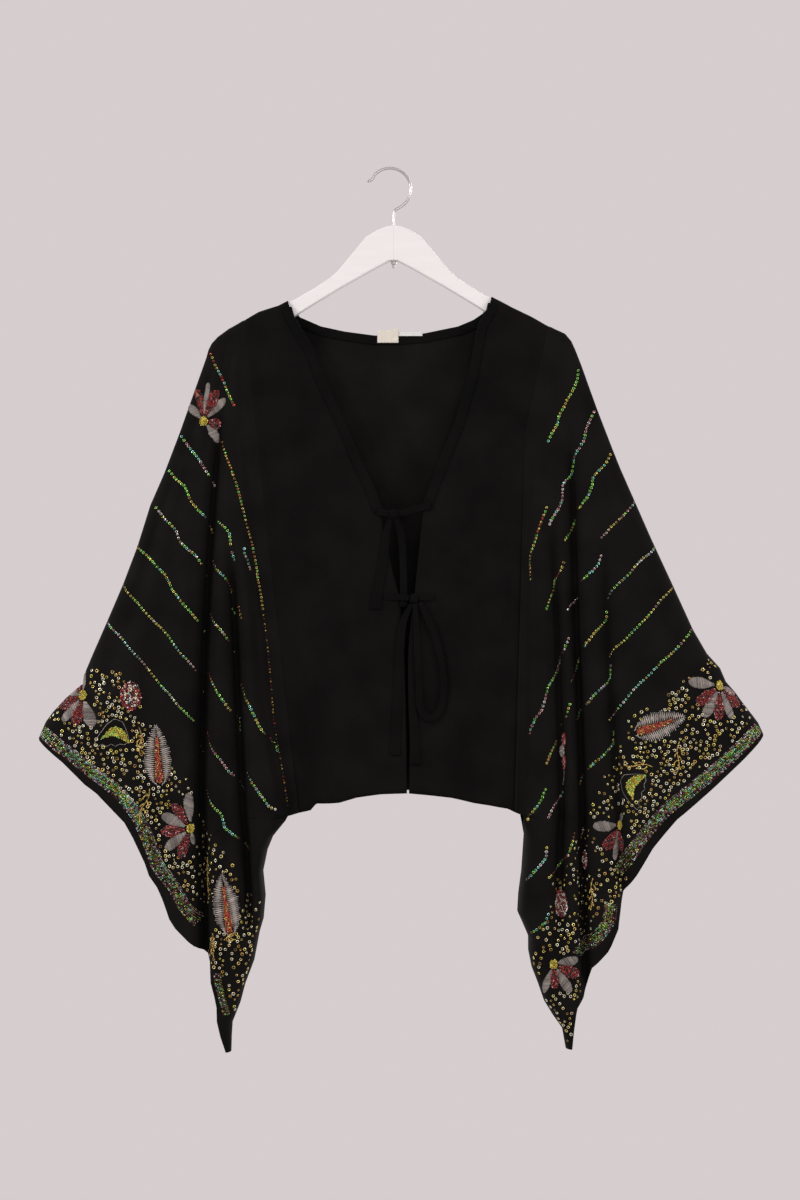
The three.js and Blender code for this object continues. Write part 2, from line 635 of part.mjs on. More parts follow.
// Knots: a squat rounded bundle
function knot(x, drop, lift) {
  const outline = [
    [0, -4.8], [3.8, -4.8], [5.5, -2.6], [6, 0], [5.5, 2.6], [3.8, 4.8], [0, 4.8],
  ].map(([radius, height]) => new THREE.Vector2(radius, height));
  const geometry = new THREE.LatheGeometry(outline, 12);
  geometry.rotateX(Math.PI / 2);
  geometry.scale(1, 0.62, 1.25);
  geometry.translate(x, -tieDepth(drop, lift), -drop);
  return geometry;
}

// Label and strip inside the back neck, in front of the binding
const TAPE = 1;
const TAPE_LIFT = BAND_ROOM + BAND_WALL + SEAM_GAP + TAPE / 2;

function neckTab(x0, x1, top, bottom) {
  const sheet = new Sheet();
  const rows = [top, (top + bottom) / 2, bottom].map((drop) => (
    Array.from({ length: 5 }, (_, k) => {
      const x = mix(x0, x1, k / 4);
      const onCloth = backSurface(x, Math.max(drop, backTopDrop(x)));
      return new THREE.Vector3(x, onCloth.y - TAPE_LIFT, -drop);
    })
  ));
  sheet.grid(rows, false);
  return wall(sheet, TAPE);
}

// Hanger and hook

const HANGER_TOP = table('out drop', [
  [0, 70], [8, 71], [18, 74.4], [34, 84], [45.4, 97.5], [56.6, 111], [68, 125], [79, 135.3],
  [96.6, 147], [120, 160.6], [133, 167], [155, 177.8], [186, 194.5], [204, 204.8],
  [211.4, 211.5], [215.4, 218],
]);
const HANGER_UNDER = table('out drop', [
  [214.5, 223], [208, 226], [186, 215.5], [155, 199.5], [125, 184], [97, 166.5], [68, 149],
  [24, 124], [5, 114], [0, 114],
]);

function hanger() {
  const half = [...HANGER_TOP, ...HANGER_UNDER];
  const right = half.map((p) => new THREE.Vector2(p.out, -p.drop));
  const left = half.slice(1, -1).reverse().map((p) => new THREE.Vector2(-p.out, -p.drop));
  const shape = new THREE.Shape([...right, ...left]);
  const geometry = new THREE.ExtrudeGeometry(shape, {
    depth: HANGER_THICKNESS - 2 * HANGER_ROUNDING,
    bevelEnabled: true,
    bevelThickness: HANGER_ROUNDING,
    bevelSize: HANGER_ROUNDING,
    bevelOffset: -HANGER_ROUNDING,
    bevelSegments: 2,
    steps: 1,
  });
  geometry.translate(0, 0, -HANGER_THICKNESS / 2 + HANGER_ROUNDING);
  geometry.rotateX(Math.PI / 2);
  return geometry;
}

// The wire runs from the flared tip over the seat, round the open loop and down into the wood
function hook() {
  const inner = HOOK_RADIUS - HOOK_WIRE_RADIUS;
  const centreZ = -Math.sqrt(inner ** 2 - HOOK_TOP_X ** 2);
  const arc = [154, 132, 110, 88, 66, 44, 22, 0, -22, -44, -64];
  const onArc = arc.map((degrees) => {
    const angle = THREE.MathUtils.degToRad(degrees);
    return [HOOK_TOP_X + HOOK_RADIUS * Math.cos(angle), centreZ + HOOK_RADIUS * Math.sin(angle)];
  });
  const tip = [-33.4, -14.5];
  const stem = [[1.2, -51], [0, -58], [0, -64], [0, -HANGER_TOP[0].drop + SEAM_GAP]];
  const points = [tip, ...onArc, ...stem].map(([x, z]) => new THREE.Vector3(x, 0, z));
  const wire = new THREE.Shape().absarc(0, 0, HOOK_WIRE_RADIUS, 0, 2 * Math.PI);
  return new THREE.ExtrudeGeometry(wire, {
    extrudePath: new THREE.CatmullRomCurve3(points, false, 'centripetal'),
    steps: 36,
    curveSegments: 5,
    bevelEnabled: false,
  });
}

// The hook's end under the wood: a small nut with the wire's end below it
function hookEnd() {
  const outline = [
    [0, 0], [3.2, 0], [3.2, -3.6], [2, -4.4], [1.8, -8], [0, -8.8],
  ].map(([radius, height]) => new THREE.Vector2(radius, height)).reverse();
  const geometry = new THREE.LatheGeometry(outline, 12);
  geometry.rotateX(Math.PI / 2);
  geometry.translate(0, 0, -HANGER_UNDER[HANGER_UNDER.length - 1].drop - SEAM_GAP);
  return geometry;
}

// Materials
const finish = (color, roughness, metalness) => (
  new THREE.MeshStandardMaterial({ color, roughness, metalness })
);
const BLACK_CREPE = finish(0x171615, 0.85, 0);
const CREAM_TAPE = finish(0xe6ddc8, 0.8, 0);
const WHITE_PAINT = finish(0xf2f1ee, 0.4, 0);
const CHROME = finish(0xc9cbcd, 0.15, 1);

const blouse = new THREE.Group();

function piece(name, geometry, material) {
  const mesh = new THREE.Mesh(geometry, material);
  mesh.name = name;
  blouse.add(mesh);
}

piece('hook', hook(), CHROME);
piece('hook_end', hookEnd(), CHROME);
piece('hanger', hanger(), WHITE_PAINT);
piece('back', backPanel(), BLACK_CREPE);
piece('front_left', frontPanel(LEFT), BLACK_CREPE);
piece('front_right', frontPanel(RIGHT), BLACK_CREPE);
piece('sleeve_left', sleeve(LEFT), BLACK_CREPE);
piece('sleeve_right', sleeve(RIGHT), BLACK_CREPE);
piece('neck_band_left', frontBand(LEFT), BLACK_CREPE);
piece('neck_band_right', frontBand(RIGHT), BLACK_CREPE);
piece('neck_band_back', backBand(), BLACK_CREPE);
for (const [name, route] of Object.entries(TIES)) piece(name, strip(route), BLACK_CREPE);
piece('tie_upper_knot', knot(-0.6, 431, 5), BLACK_CREPE);
piece('tie_lower_knot', knot(25.4, 535.5, 5), BLACK_CREPE);
piece('label', neckTab(-20.5, 6, 199, 215), CREAM_TAPE);
piece('label_strip', neckTab(6.6, 36, 201.5, 206.5), CREAM_TAPE);

export default blouse;
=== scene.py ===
"""Open-fronted blouse with wide embroidered sleeves, hanging on a white wooden hanger.

Shapes are worked out in millimetres and written to the meshes in metres. "drop" is the distance
below the hook seat, "out" the distance from the middle towards a sleeve. One table serves a left
piece (x = -out) or a right piece (x = +out). Front layers lie at -Y, back layers at +Y.
"""
import math
from types import SimpleNamespace

import bmesh
import bpy
import numpy as np
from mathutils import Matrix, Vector


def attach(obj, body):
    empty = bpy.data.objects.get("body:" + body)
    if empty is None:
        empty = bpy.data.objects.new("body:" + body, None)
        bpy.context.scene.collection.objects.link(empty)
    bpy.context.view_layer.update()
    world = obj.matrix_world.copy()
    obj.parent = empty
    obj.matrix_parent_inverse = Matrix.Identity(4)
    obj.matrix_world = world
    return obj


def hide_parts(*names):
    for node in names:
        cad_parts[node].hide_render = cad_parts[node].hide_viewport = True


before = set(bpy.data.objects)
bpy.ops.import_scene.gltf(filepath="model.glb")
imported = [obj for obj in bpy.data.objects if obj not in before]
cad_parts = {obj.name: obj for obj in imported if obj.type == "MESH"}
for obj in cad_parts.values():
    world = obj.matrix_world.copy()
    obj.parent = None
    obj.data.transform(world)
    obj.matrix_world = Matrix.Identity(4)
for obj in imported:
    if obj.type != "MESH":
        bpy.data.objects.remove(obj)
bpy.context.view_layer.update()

MM = 0.001
TINY = 1e-9
CLOTH = 1.2
SEAM_GAP = 0.3
rng = np.random.default_rng(27)


def table(names, rows):
    """Named columns from short rows."""
    return {name: np.array(column, float) for name, column in zip(names.split(), zip(*rows))}


def read(rows, key, column, at):
    """Straight-line reading of one column, held at its ends."""
    return np.interp(at, rows[key], rows[column])


def smooth(value):
    """0 below 0, 1 above 1, an S curve between."""
    s = np.clip(value, 0, 1)
    return s * s * (3 - 2 * s)


def mix(a, b, s):
    """Straight-line blend from a at 0 to b at 1."""
    return a + (b - a) * s


def rounded(s, power):
    """0 at an edge, 1 from one width in, as a squashed quarter circle of that power."""
    return (1 - (1 - np.clip(s, 0, 1)) ** power) ** (1 / power)


def bell(distance):
    """1 at 0, falling evenly on both sides."""
    return np.exp(-distance ** 2)


def unit(vectors, least=0.0):
    """Vectors of length 1; a small least keeps a zero vector from a division by 0."""
    return vectors / (np.linalg.norm(vectors, axis=-1, keepdims=True) + least)


def run_length(points, power=1):
    """Length along a line of points, from 0 at the first, each step raised to a power."""
    return np.concatenate([[0], np.cumsum(np.linalg.norm(np.diff(points, axis=0), axis=1) ** power)])


def arc_length(out, height):
    """Length across a layer along each level, from 0 at its first column."""
    steps = np.hypot(np.diff(out, axis=1), np.diff(height, axis=1))
    return np.concatenate([np.zeros((len(out), 1)), np.cumsum(steps, axis=1)], axis=1)


# Camera

PHOTO_HEIGHT = 1.5
CAMERA_DISTANCE = 2.2
MIDDLE_X = 0.0079
MIDDLE_Z = -0.5375
camera_data = bpy.data.cameras.new("camera")
camera_data.sensor_width = 36
camera_data.lens = 36 * CAMERA_DISTANCE / PHOTO_HEIGHT
camera = bpy.data.objects.new("camera", camera_data)
camera.location = (MIDDLE_X, -CAMERA_DISTANCE, MIDDLE_Z)
camera.rotation_euler = (math.pi / 2, 0, 0)
bpy.context.collection.objects.link(camera)
bpy.context.scene.camera = camera

# Sizes of the sleeves, as in the part

# "outer" is the folded upper edge down to the cuff corner and then the cuff edge to the tip, with
# "peek" for how far the back layer shows past the front. "inner" is the armhole and then the
# joined lower edge, and "step" is where the sleeve comes forward of the body.
LEFT = SimpleNamespace(
    sign=-1, name="left", armhole_top=188.5, cuff_corner=709, hem_corner=805, tip=1100,
    outer=table("drop out peek", [
        [188.5, 187, 0], [193.5, 196, 0], [199, 206, 0], [209, 219.6, 0], [217, 227, 0],
        [225, 231, 0], [234, 233.4, 0], [329, 267, 0], [379, 286, 0], [419, 303.4, 0],
        [471, 319.6, 0], [517, 337, 0], [567, 358.4, 0], [604, 374.6, 0], [625, 383.4, 0],
        [642, 387, 0], [659, 408, 0], [677, 424.6, 0], [689, 433.4, 0], [709, 442, 0],
        [737, 407, 0], [764, 381, 1], [775, 368.4, 3], [790, 356, 5], [811, 336, 5],
        [829, 326, 5], [861, 311, 5], [876, 307, 6], [891, 297, 6], [905, 291, 6], [930, 282, 6],
        [941, 274.6, 6], [957, 257, 4], [977, 234, 4], [985, 231, 4], [1010, 229.6, 4],
        [1026, 224.6, 3], [1041, 222, 3], [1059, 221, 2], [1079, 216, 1], [1100, 209, 0],
    ]),
    inner=table("drop out", [
        [188.5, 186], [801, 118], [805, 131], [831, 151], [849, 158.4], [876, 164], [907, 161],
        [935, 163.4], [952, 168.4], [987, 175], [1016, 186], [1039, 192], [1064, 202],
        [1081, 203], [1100, 203.5],
    ]),
    step=table("drop out", [
        [190, 190], [300, 190], [394, 184], [487, 178], [662, 163], [787, 138], [805, 136],
    ]),
)
RIGHT = SimpleNamespace(
    sign=1, name="right", armhole_top=196, cuff_corner=704, hem_corner=804, tip=1096,
    outer=table("drop out peek", [
        [196, 194, 0], [201, 205.4, 0], [205, 214, 0], [214, 221.6, 0], [225, 226.6, 0],
        [244, 234, 0], [297, 253, 0], [349, 273, 0], [374, 283, 0], [462, 321.6, 0],
        [516, 346.6, 0], [574, 373, 0], [604, 390.4, 0], [622, 406.6, 0], [639, 414, 0],
        [652, 425.4, 0], [664, 434, 0], [682, 448, 0], [690, 454, 0], [704, 460.4, 0],
        [730, 434, 0], [765, 399, 2], [786, 376.6, 3], [807, 353, 4], [819, 343, 4],
        [844, 323, 4], [876, 303, 4], [897, 286.6, 3], [910, 284, 3], [932, 281.6, 4],
        [942, 280.4, 4], [962, 273, 5], [970, 269, 5], [992, 249, 4], [1011, 244, 4],
        [1029, 239, 4], [1042, 230.4, 3], [1051, 228, 2], [1069, 225, 1], [1096, 222, 0],
    ]),
    inner=table("drop out", [
        [196, 193], [322.84, 164], [800, 150], [804, 160], [830, 163.5], [876, 160.4],
        [905, 156.6], [926, 155.4], [937, 160.4], [957, 169], [975, 169], [995, 173],
        [1014, 180.4], [1036, 188], [1054, 199], [1071, 211], [1096, 215.5],
    ]),
    step=table("drop out", [[196, 197], [325, 170], [537, 165], [804, 163]]),
)
SIDES = (LEFT, RIGHT)
CUFF_CORNER_SLOPE = 0.44
JOIN_BELOW_HEM = 26
JOINED_EDGE_WIDTH = 14
STEP_WIDTH = 12
STEP_START = 0.33
RIDGE_HEIGHT = 8
SLEEVE_DEPTH = table("drop depth", [
    [190, 9.5], [230, 10], [300, 13], [400, 20], [487, 26], [600, 31], [706, 35], [962, 36],
    [1040, 24], [1100, 12],
])
BODY_DEPTH = table("drop depth", [[160, 9], [300, 10.5], [500, 13.5], [805, 16]])
EDGE_WIDTH = table("drop width", [[190, 14], [300, 30], [700, 60], [1100, 60]])
SHOULDER_EDGE_WIDTH = 3
EDGE_POWER = 2.5
SEAM_LAP = 0.2

# Creases, ripples and leans die away within these distances of the edges and of the shoulder.
FINE_ROOM = 16
FINE_START_FADE = 40
LEAN_ROOM = 12

# Levels of a layer, the step for its normals, and the stretches of "out" and of arc length that
# its readings cover
FIRST_LEVEL = 2
LEVEL_STEP = 4.0
NEAR = 0.6
SURVEY_OUT = (100, 480)
SURVEY_ARC = 900

# A hanging fold is a valley through three points: "reach" is the part of the half depth that it
# takes, "width" its half width, and "lean" how far its bottom lies to one side.
FOLD = "drop0 out0 drop1 out1 drop2 out2 width reach lean"
LEFT.front_folds = table(FOLD, [
    [290, 211, 626, 233, 962, 233, 8, 0.84, 4],
    [440, 202, 637, 192, 900, 180, 8, 0.68, 3],
    [400, 262, 640, 292, 880, 272, 18, 0.2, 0],
])
LEFT.back_folds = table(FOLD, [
    [300, 220, 600, 246, 980, 236, 9, 0.78, -4],
    [420, 196, 640, 186, 900, 184, 9, 0.6, -3],
    [480, 310, 660, 340, 840, 322, 16, 0.18, 0],
])
RIGHT.front_folds = table(FOLD, [
    [300, 216, 662, 227, 985, 237, 8, 0.7, 4],
    [400, 191, 577, 200, 900, 206, 8, 0.5, 3],
    [420, 256, 662, 266, 897, 284, 8, 0.34, 3],
    [470, 306, 640, 340, 830, 322, 16, 0.14, 0],
])
RIGHT.back_folds = table(FOLD, [
    [300, 222, 640, 240, 985, 242, 9, 0.78, -4],
    [420, 192, 620, 198, 900, 200, 9, 0.55, -3],
    [480, 300, 660, 330, 840, 312, 16, 0.2, 0],
])
FOLD_START_FADE = 112
FOLD_END_FADE = 70

# A crease goes from one point to another with a bow, a half width and a depth, which is negative
# for a ridge.
CREASE = "drop0 out0 drop1 out1 bow width depth"
LEFT.front_creases = table(CREASE, [
    [200, 196, 420, 222, 4, 6, 3.2], [198, 204, 400, 246, -3, 6, 2.6],
    [205, 214, 520, 282, 6, 9, 3], [240, 226, 640, 338, 8, 11, 3.4],
    [360, 268, 700, 380, -6, 12, 3.6], [430, 250, 800, 262, 5, 8, -2.6],
    [520, 236, 900, 250, -4, 7, 2.8], [560, 214, 940, 212, 3, 5, -3],
    [600, 172, 800, 158, 0, 5, 2.4], [300, 198, 560, 178, 0, 5, 2.2],
    [560, 310, 800, 318, -8, 10, 2.8], [640, 352, 740, 362, 4, 12, -2.4],
    [820, 206, 1060, 208, 2, 6, 3], [860, 188, 1010, 198, 0, 6, -2.4],
    [850, 262, 960, 246, 0, 8, 2.6], [620, 404, 720, 400, 2, 10, 2],
])
LEFT.back_creases = table(CREASE, [
    [202, 198, 430, 230, 4, 6, 3], [204, 208, 440, 264, -3, 7, 2.6],
    [250, 230, 620, 320, 8, 11, 3.4], [380, 276, 690, 376, -6, 12, 3.2],
    [460, 262, 820, 284, 5, 8, 2.6], [560, 216, 920, 214, 3, 6, -3],
    [600, 168, 800, 156, 0, 6, 2.4], [560, 300, 820, 304, -8, 10, -2.8],
    [820, 208, 1060, 212, 2, 6, 3], [640, 372, 760, 358, 4, 12, 2.4],
])
RIGHT.front_creases = table(CREASE, [
    [204, 200, 430, 206, 3, 6, 2.6], [206, 208, 470, 236, -3, 7, 3],
    [212, 216, 560, 286, 6, 9, 3], [260, 234, 650, 336, 8, 11, 3.2],
    [380, 276, 700, 392, -6, 12, 3.4], [450, 238, 860, 250, 5, 8, -2.8],
    [540, 246, 900, 254, -4, 6, 2.4], [560, 214, 960, 218, 3, 5, -3],
    [420, 178, 780, 172, 0, 5, 3], [560, 306, 790, 314, -8, 10, 2.8],
    [640, 372, 740, 372, 4, 12, -2.4], [820, 196, 1040, 206, 2, 6, 3],
    [850, 258, 960, 256, 0, 8, 2.6], [620, 418, 715, 416, 2, 10, 2],
    [840, 178, 960, 184, 0, 6, -2.2],
])
RIGHT.back_creases = table(CREASE, [
    [206, 204, 440, 226, 4, 6, 3], [208, 212, 450, 258, -3, 7, 2.6],
    [260, 236, 630, 326, 8, 11, 3.4], [390, 280, 700, 386, -6, 12, 3.2],
    [470, 268, 820, 280, 5, 8, 2.6], [560, 218, 930, 220, 3, 6, -3],
    [600, 176, 800, 170, 0, 6, 2.4], [560, 300, 800, 306, -8, 10, -2.8],
    [820, 204, 1050, 212, 2, 6, 3], [640, 380, 750, 366, 4, 12, 2.4],
])


def fold_out(fold, drop):
    """Parabola through the fold's three points, held at its ends."""
    d0, d1, d2, o0, o1, o2 = (fold[k] for k in "drop0 drop1 drop2 out0 out1 out2".split())
    at = np.clip(drop, d0, d2)
    return (
        o0 * (at - d1) * (at - d2) / ((d0 - d1) * (d0 - d2))
        + o1 * (at - d0) * (at - d2) / ((d1 - d0) * (d1 - d2))
        + o2 * (at - d0) * (at - d1) / ((d2 - d0) * (d2 - d1))
    )


def rows_of(rows):
    """One dictionary for each row of a table."""
    count = len(next(iter(rows.values())))
    return [{key: column[k] for key, column in rows.items()} for k in range(count)]


def crease_depth(creases, out, drop):
    """Sum of troughs and ridges: each a bell across its line, fading in and out along it."""
    total = np.zeros(np.broadcast(out, drop).shape)
    for c in rows_of(creases):
        w = (drop - c["drop0"]) / (c["drop1"] - c["drop0"])
        middle = mix(c["out0"], c["out1"], w) + c["bow"] * np.sin(math.pi * np.clip(w, 0, 1))
        fade = smooth(w * 4) * smooth((1 - w) * 3)
        width = c["width"] * mix(0.7, 1.15, np.clip(w, 0, 1))
        total = total + c["depth"] * fade * bell((out - middle) / width)
    return total


def ripple(out, drop, phase):
    """Faint uneven waves, long down the cloth and short across it."""
    across = out * 0.19 + 2.4 * np.sin(drop * 0.011 + phase) + phase
    along = drop * 0.023 + 1.7 * np.sin(out * 0.027 + 2 * phase)
    return 0.34 * np.sin(across) * (0.6 + 0.4 * np.sin(along)) + 0.28 * np.sin(along * 2.1 + across * 0.37)


def body_depth(drop, below):
    """Half depth of the body: the table's, rounded over at the shoulder seam."""
    half = read(BODY_DEPTH, "drop", "depth", drop)
    return np.maximum(SEAM_GAP / 2, half * rounded(below / RIDGE_HEIGHT, 4))


def edge_room(from_inner, from_fold, width):
    """0 at both edges of the cloth, 1 from a width in."""
    return np.clip(from_inner / width, 0, 1) * np.clip(from_fold / width, 0, 1)


class Layer:
    """One layer of a sleeve, as a height over (out, drop). "arc" holds the arc length across at
    each level, and "back_map" the way back from an arc length to out."""

    def __init__(self, side, is_front):
        self.side = side
        self.is_front = is_front
        self.folds = rows_of(side.front_folds if is_front else side.back_folds)
        self.creases = side.front_creases if is_front else side.back_creases
        self.phase = (1.3 if is_front else 2.9) + (0.0 if side is LEFT else 0.8)
        self.levels = np.arange(side.armhole_top + FIRST_LEVEL, side.tip, LEVEL_STEP)
        self.reach = np.arange(SURVEY_OUT[0], SURVEY_OUT[1] + 1.0)
        drop, out = np.meshgrid(self.levels, self.reach, indexing="ij")
        self.arc = arc_length(out, self.height(out, drop))
        self.back_map = np.array([
            np.interp(np.arange(SURVEY_ARC), arc, self.reach) for arc in self.arc
        ])

    def edges(self, drop):
        """(outer, inner) limits of the cloth at a drop."""
        side = self.side
        outer = read(side.outer, "drop", "out", drop)
        if self.is_front:
            outer = outer - read(side.outer, "drop", "peek", drop)
        lap = np.where(drop < side.hem_corner, SEAM_GAP / 2 + SEAM_LAP, 0)
        inner = read(side.inner, "drop", "out", drop) - lap
        return outer, inner

    def top_fold(self, drop):
        """The folded upper edge, carried on past the cuff corner by its slope."""
        side = self.side
        on_fold = read(side.outer, "drop", "out", np.minimum(drop, side.cuff_corner))
        return on_fold + np.maximum(0, drop - side.cuff_corner) * CUFF_CORNER_SLOPE

    def height(self, out, drop, with_lean=False):
        """Distance from the middle plane: the sleeve's half depth, rounded at the top fold and at
        the joined edge, less the folds and creases, and blended to the body at the armhole."""
        side = self.side
        outer, inner = self.edges(drop)
        top_fold = self.top_fold(drop)
        joined = np.clip((drop - side.hem_corner) / JOIN_BELOW_HEM, 0, 1)
        full = (
            read(SLEEVE_DEPTH, "drop", "depth", drop)
            * rounded((top_fold - out) / read(EDGE_WIDTH, "drop", "width", drop), EDGE_POWER)
            * mix(1, rounded((out - inner) / JOINED_EDGE_WIDTH, EDGE_POWER), joined)
        )
        depth = full
        lean = 0
        for f in self.folds:
            strength = (
                smooth((drop - f["drop0"]) / FOLD_START_FADE)
                * smooth((f["drop2"] + FOLD_END_FADE - drop) / FOLD_END_FADE)
                * bell((out - fold_out(f, drop)) / f["width"])
            )
            depth = depth - full * f["reach"] * strength
            lean = lean + f["lean"] * strength * (1 - joined)
        room = edge_room(out - inner, top_fold - out, FINE_ROOM)
        fine = crease_depth(self.creases, out, drop) + ripple(out, drop, self.phase)
        depth = depth - fine * room * smooth((drop - side.armhole_top) / FINE_START_FADE)
        step = read(side.step, "drop", "out", drop)
        forward = smooth((out - step) / STEP_WIDTH + STEP_START)
        on_body = body_depth(drop, drop - side.armhole_top)
        on_body = on_body * rounded((top_fold - out) / SHOULDER_EDGE_WIDTH, EDGE_POWER)
        base = np.where(drop > side.hem_corner + 1, depth, on_body)
        depth = mix(base, depth, forward)
        if not with_lean:
            return depth
        return depth, lean * edge_room(out - inner, top_fold - out, LEAN_ROOM)

    def point(self, out, drop):
        """Places in space, in millimetres."""
        depth, lean = self.height(out, drop, with_lean=True)
        front = -1 if self.is_front else 1
        return np.stack(
            [self.side.sign * (out + lean), front * depth, -drop - CLOTH / 2], axis=-1
        )

    def normal(self, out, drop):
        """Unit vectors straight off the cloth, away from the middle plane."""
        across = self.point(out + NEAR, drop) - self.point(out - NEAR, drop)
        down = self.point(out, drop + NEAR) - self.point(out, drop - NEAR)
        normal = unit(np.cross(across, down), TINY)
        away = np.sign(normal[..., 1:2]) * (-1 if self.is_front else 1)
        return normal * np.where(away == 0, 1, away)

    def sample(self, grid, column, drop):
        """Reading of a grid between its levels and columns."""
        row = np.clip((drop - self.levels[0]) / LEVEL_STEP, 0, len(self.levels) - 1.001)
        i = row.astype(int)
        column = np.clip(column, 0, grid.shape[1] - 1.001)
        j = column.astype(int)
        a, b = row - i, column - j
        return (
            grid[i, j] * (1 - a) * (1 - b) + grid[i + 1, j] * a * (1 - b)
            + grid[i, j + 1] * (1 - a) * b + grid[i + 1, j + 1] * a * b
        )

    def local(self, out, drop, a, b):
        """(out, drop) of a place a mm outwards along the cloth and b mm down from a centre."""
        at = drop + b
        arc = self.sample(self.arc, np.full(np.shape(at), out - self.reach[0]), at)
        return self.sample(self.back_map, arc + a, at), at

    def inside(self, out, drop, margin=1.5):
        """True for places at least a margin in from the edges of the cloth."""
        outer, inner = self.edges(drop)
        return (out < outer - margin) & (out > inner + margin) & (drop < self.side.tip)


LAYERS = {side.name: (Layer(side, True), Layer(side, False)) for side in SIDES}

# Meshes

MERGE = 0.02
TUBE_MERGE = 0.001
SLIVER = 1e-6


def new_mesh(name, points, faces, tint=None, uv=None):
    """A mesh object from arrays: points in millimetres, faces of one size, a tint for each
    point and a (u, v) for each point."""
    points = np.asarray(points, float).reshape(-1, 3)
    faces = np.asarray(faces, np.int64)
    mesh = bpy.data.meshes.new(name)
    mesh.vertices.add(len(points))
    mesh.vertices.foreach_set("co", (points * MM).astype(np.float32).ravel())
    mesh.loops.add(faces.size)
    mesh.loops.foreach_set("vertex_index", faces.astype(np.int32).ravel())
    mesh.polygons.add(len(faces))
    mesh.polygons.foreach_set("loop_start", np.arange(0, faces.size, faces.shape[1], dtype=np.int32))
    mesh.update(calc_edges=True)
    mesh.validate()
    mesh.polygons.foreach_set("use_smooth", np.ones(len(mesh.polygons), bool))
    if tint is not None:
        colours = np.concatenate([tint, np.ones((len(tint), 1))], axis=1)
        layer = mesh.color_attributes.new(name="tint", type="FLOAT_COLOR", domain="POINT")
        layer.data.foreach_set("color", colours.astype(np.float32).ravel())
    if uv is not None:
        cloth = mesh.uv_layers.new(name="cloth")
        cloth.data.foreach_set("uv", (uv * MM)[faces.ravel()].astype(np.float32).ravel())
    obj = bpy.data.objects.new(name, mesh)
    bpy.context.collection.objects.link(obj)
    return obj


def grid_faces(rows, columns, start=0, flipped=False):
    """Quads of a grid of rows by columns points."""
    i, j = np.meshgrid(np.arange(rows - 1), np.arange(columns - 1), indexing="ij")
    a = (i * columns + j).ravel() + start
    quads = np.stack([a, a + 1, a + columns + 1, a + columns], axis=1)
    return quads[:, ::-1] if flipped else quads


def merged(obj, distance, is_closed=False):
    """Joins points that meet. On a closed shell the faces are then turned outwards."""
    bm = bmesh.new()
    bm.from_mesh(obj.data)
    bmesh.ops.remove_doubles(bm, verts=bm.verts, dist=distance * MM)
    bmesh.ops.dissolve_degenerate(bm, edges=bm.edges, dist=SLIVER)
    if is_closed:
        bmesh.ops.recalc_face_normals(bm, faces=bm.faces)
    bm.to_mesh(obj.data)
    bm.free()
    return obj


def walled(obj, thickness):
    """Joins a sheet's points that meet and gives it a wall about its middle surface."""
    wall = merged(obj, MERGE).modifiers.new("wall", "SOLIDIFY")
    wall.thickness = thickness * MM
    wall.offset = 0
    wall.use_rim = True
    return obj


# Materials


def material(name, colour, roughness, **sockets):
    """A Principled finish; sockets are set on the shader's own inputs."""
    made = bpy.data.materials.new(name)
    made.use_nodes = True
    shader = made.node_tree.nodes["Principled BSDF"]
    shader.inputs["Base Color"].default_value = (*colour, 1)
    shader.inputs["Roughness"].default_value = roughness
    for key, value in sockets.items():
        shader.inputs[key.replace("_", " ")].default_value = value
    return made, made.node_tree, shader


def node(tree, kind, **values):
    """A node with its settings, and its inputs where the name is one of its sockets."""
    made = tree.nodes.new(kind)
    for key, value in values.items():
        if key in made.inputs:
            made.inputs[key].default_value = value
        else:
            setattr(made, key, value)
    return made


def bump(tree, shader, height, strength, distance):
    """Relief on the shader's normal, from a height."""
    made = node(tree, "ShaderNodeBump", Strength=strength, Distance=distance)
    tree.links.new(height, made.inputs["Height"])
    tree.links.new(made.outputs["Normal"], shader.inputs["Normal"])


def object_place(tree):
    """The piece's own Object coordinates."""
    return node(tree, "ShaderNodeTexCoord").outputs["Object"]


def noise(tree, at, scale, detail, roughness=0.5):
    """Uneven value from 0 to 1 on the given coordinates."""
    made = node(tree, "ShaderNodeTexNoise", Scale=scale, Detail=detail, Roughness=roughness)
    tree.links.new(at, made.inputs["Vector"])
    return made.outputs["Fac"]


def tones(tree, value, first, last, start=0.0, end=1.0):
    """Colour that goes from first to last as a value goes from start to end."""
    ramp = node(tree, "ShaderNodeValToRGB")
    for stop, position, colour in zip(ramp.color_ramp.elements, (start, end), (first, last)):
        stop.position = position
        stop.color = (*colour, 1)
    tree.links.new(value, ramp.inputs["Fac"])
    return ramp.outputs["Color"]


def spread(tree, value, low, high, top=1.0):
    """A value from 0 to top, carried to low to high."""
    made = node(tree, "ShaderNodeMapRange")
    made.inputs["From Max"].default_value = top
    made.inputs["To Min"].default_value = low
    made.inputs["To Max"].default_value = high
    tree.links.new(value, made.inputs["Value"])
    return made.outputs["Result"]


def shaded(tree, shader, colour, factor):
    """The shader's colour, made lighter or darker by a factor."""
    made = node(tree, "ShaderNodeVectorMath", operation="SCALE")
    tree.links.new(colour, made.inputs[0])
    tree.links.new(factor, made.inputs["Scale"])
    tree.links.new(made.outputs["Vector"], shader.inputs["Base Color"])


CREPE_TONES = ((0.0022, 0.002, 0.0018), (0.0048, 0.0044, 0.004))


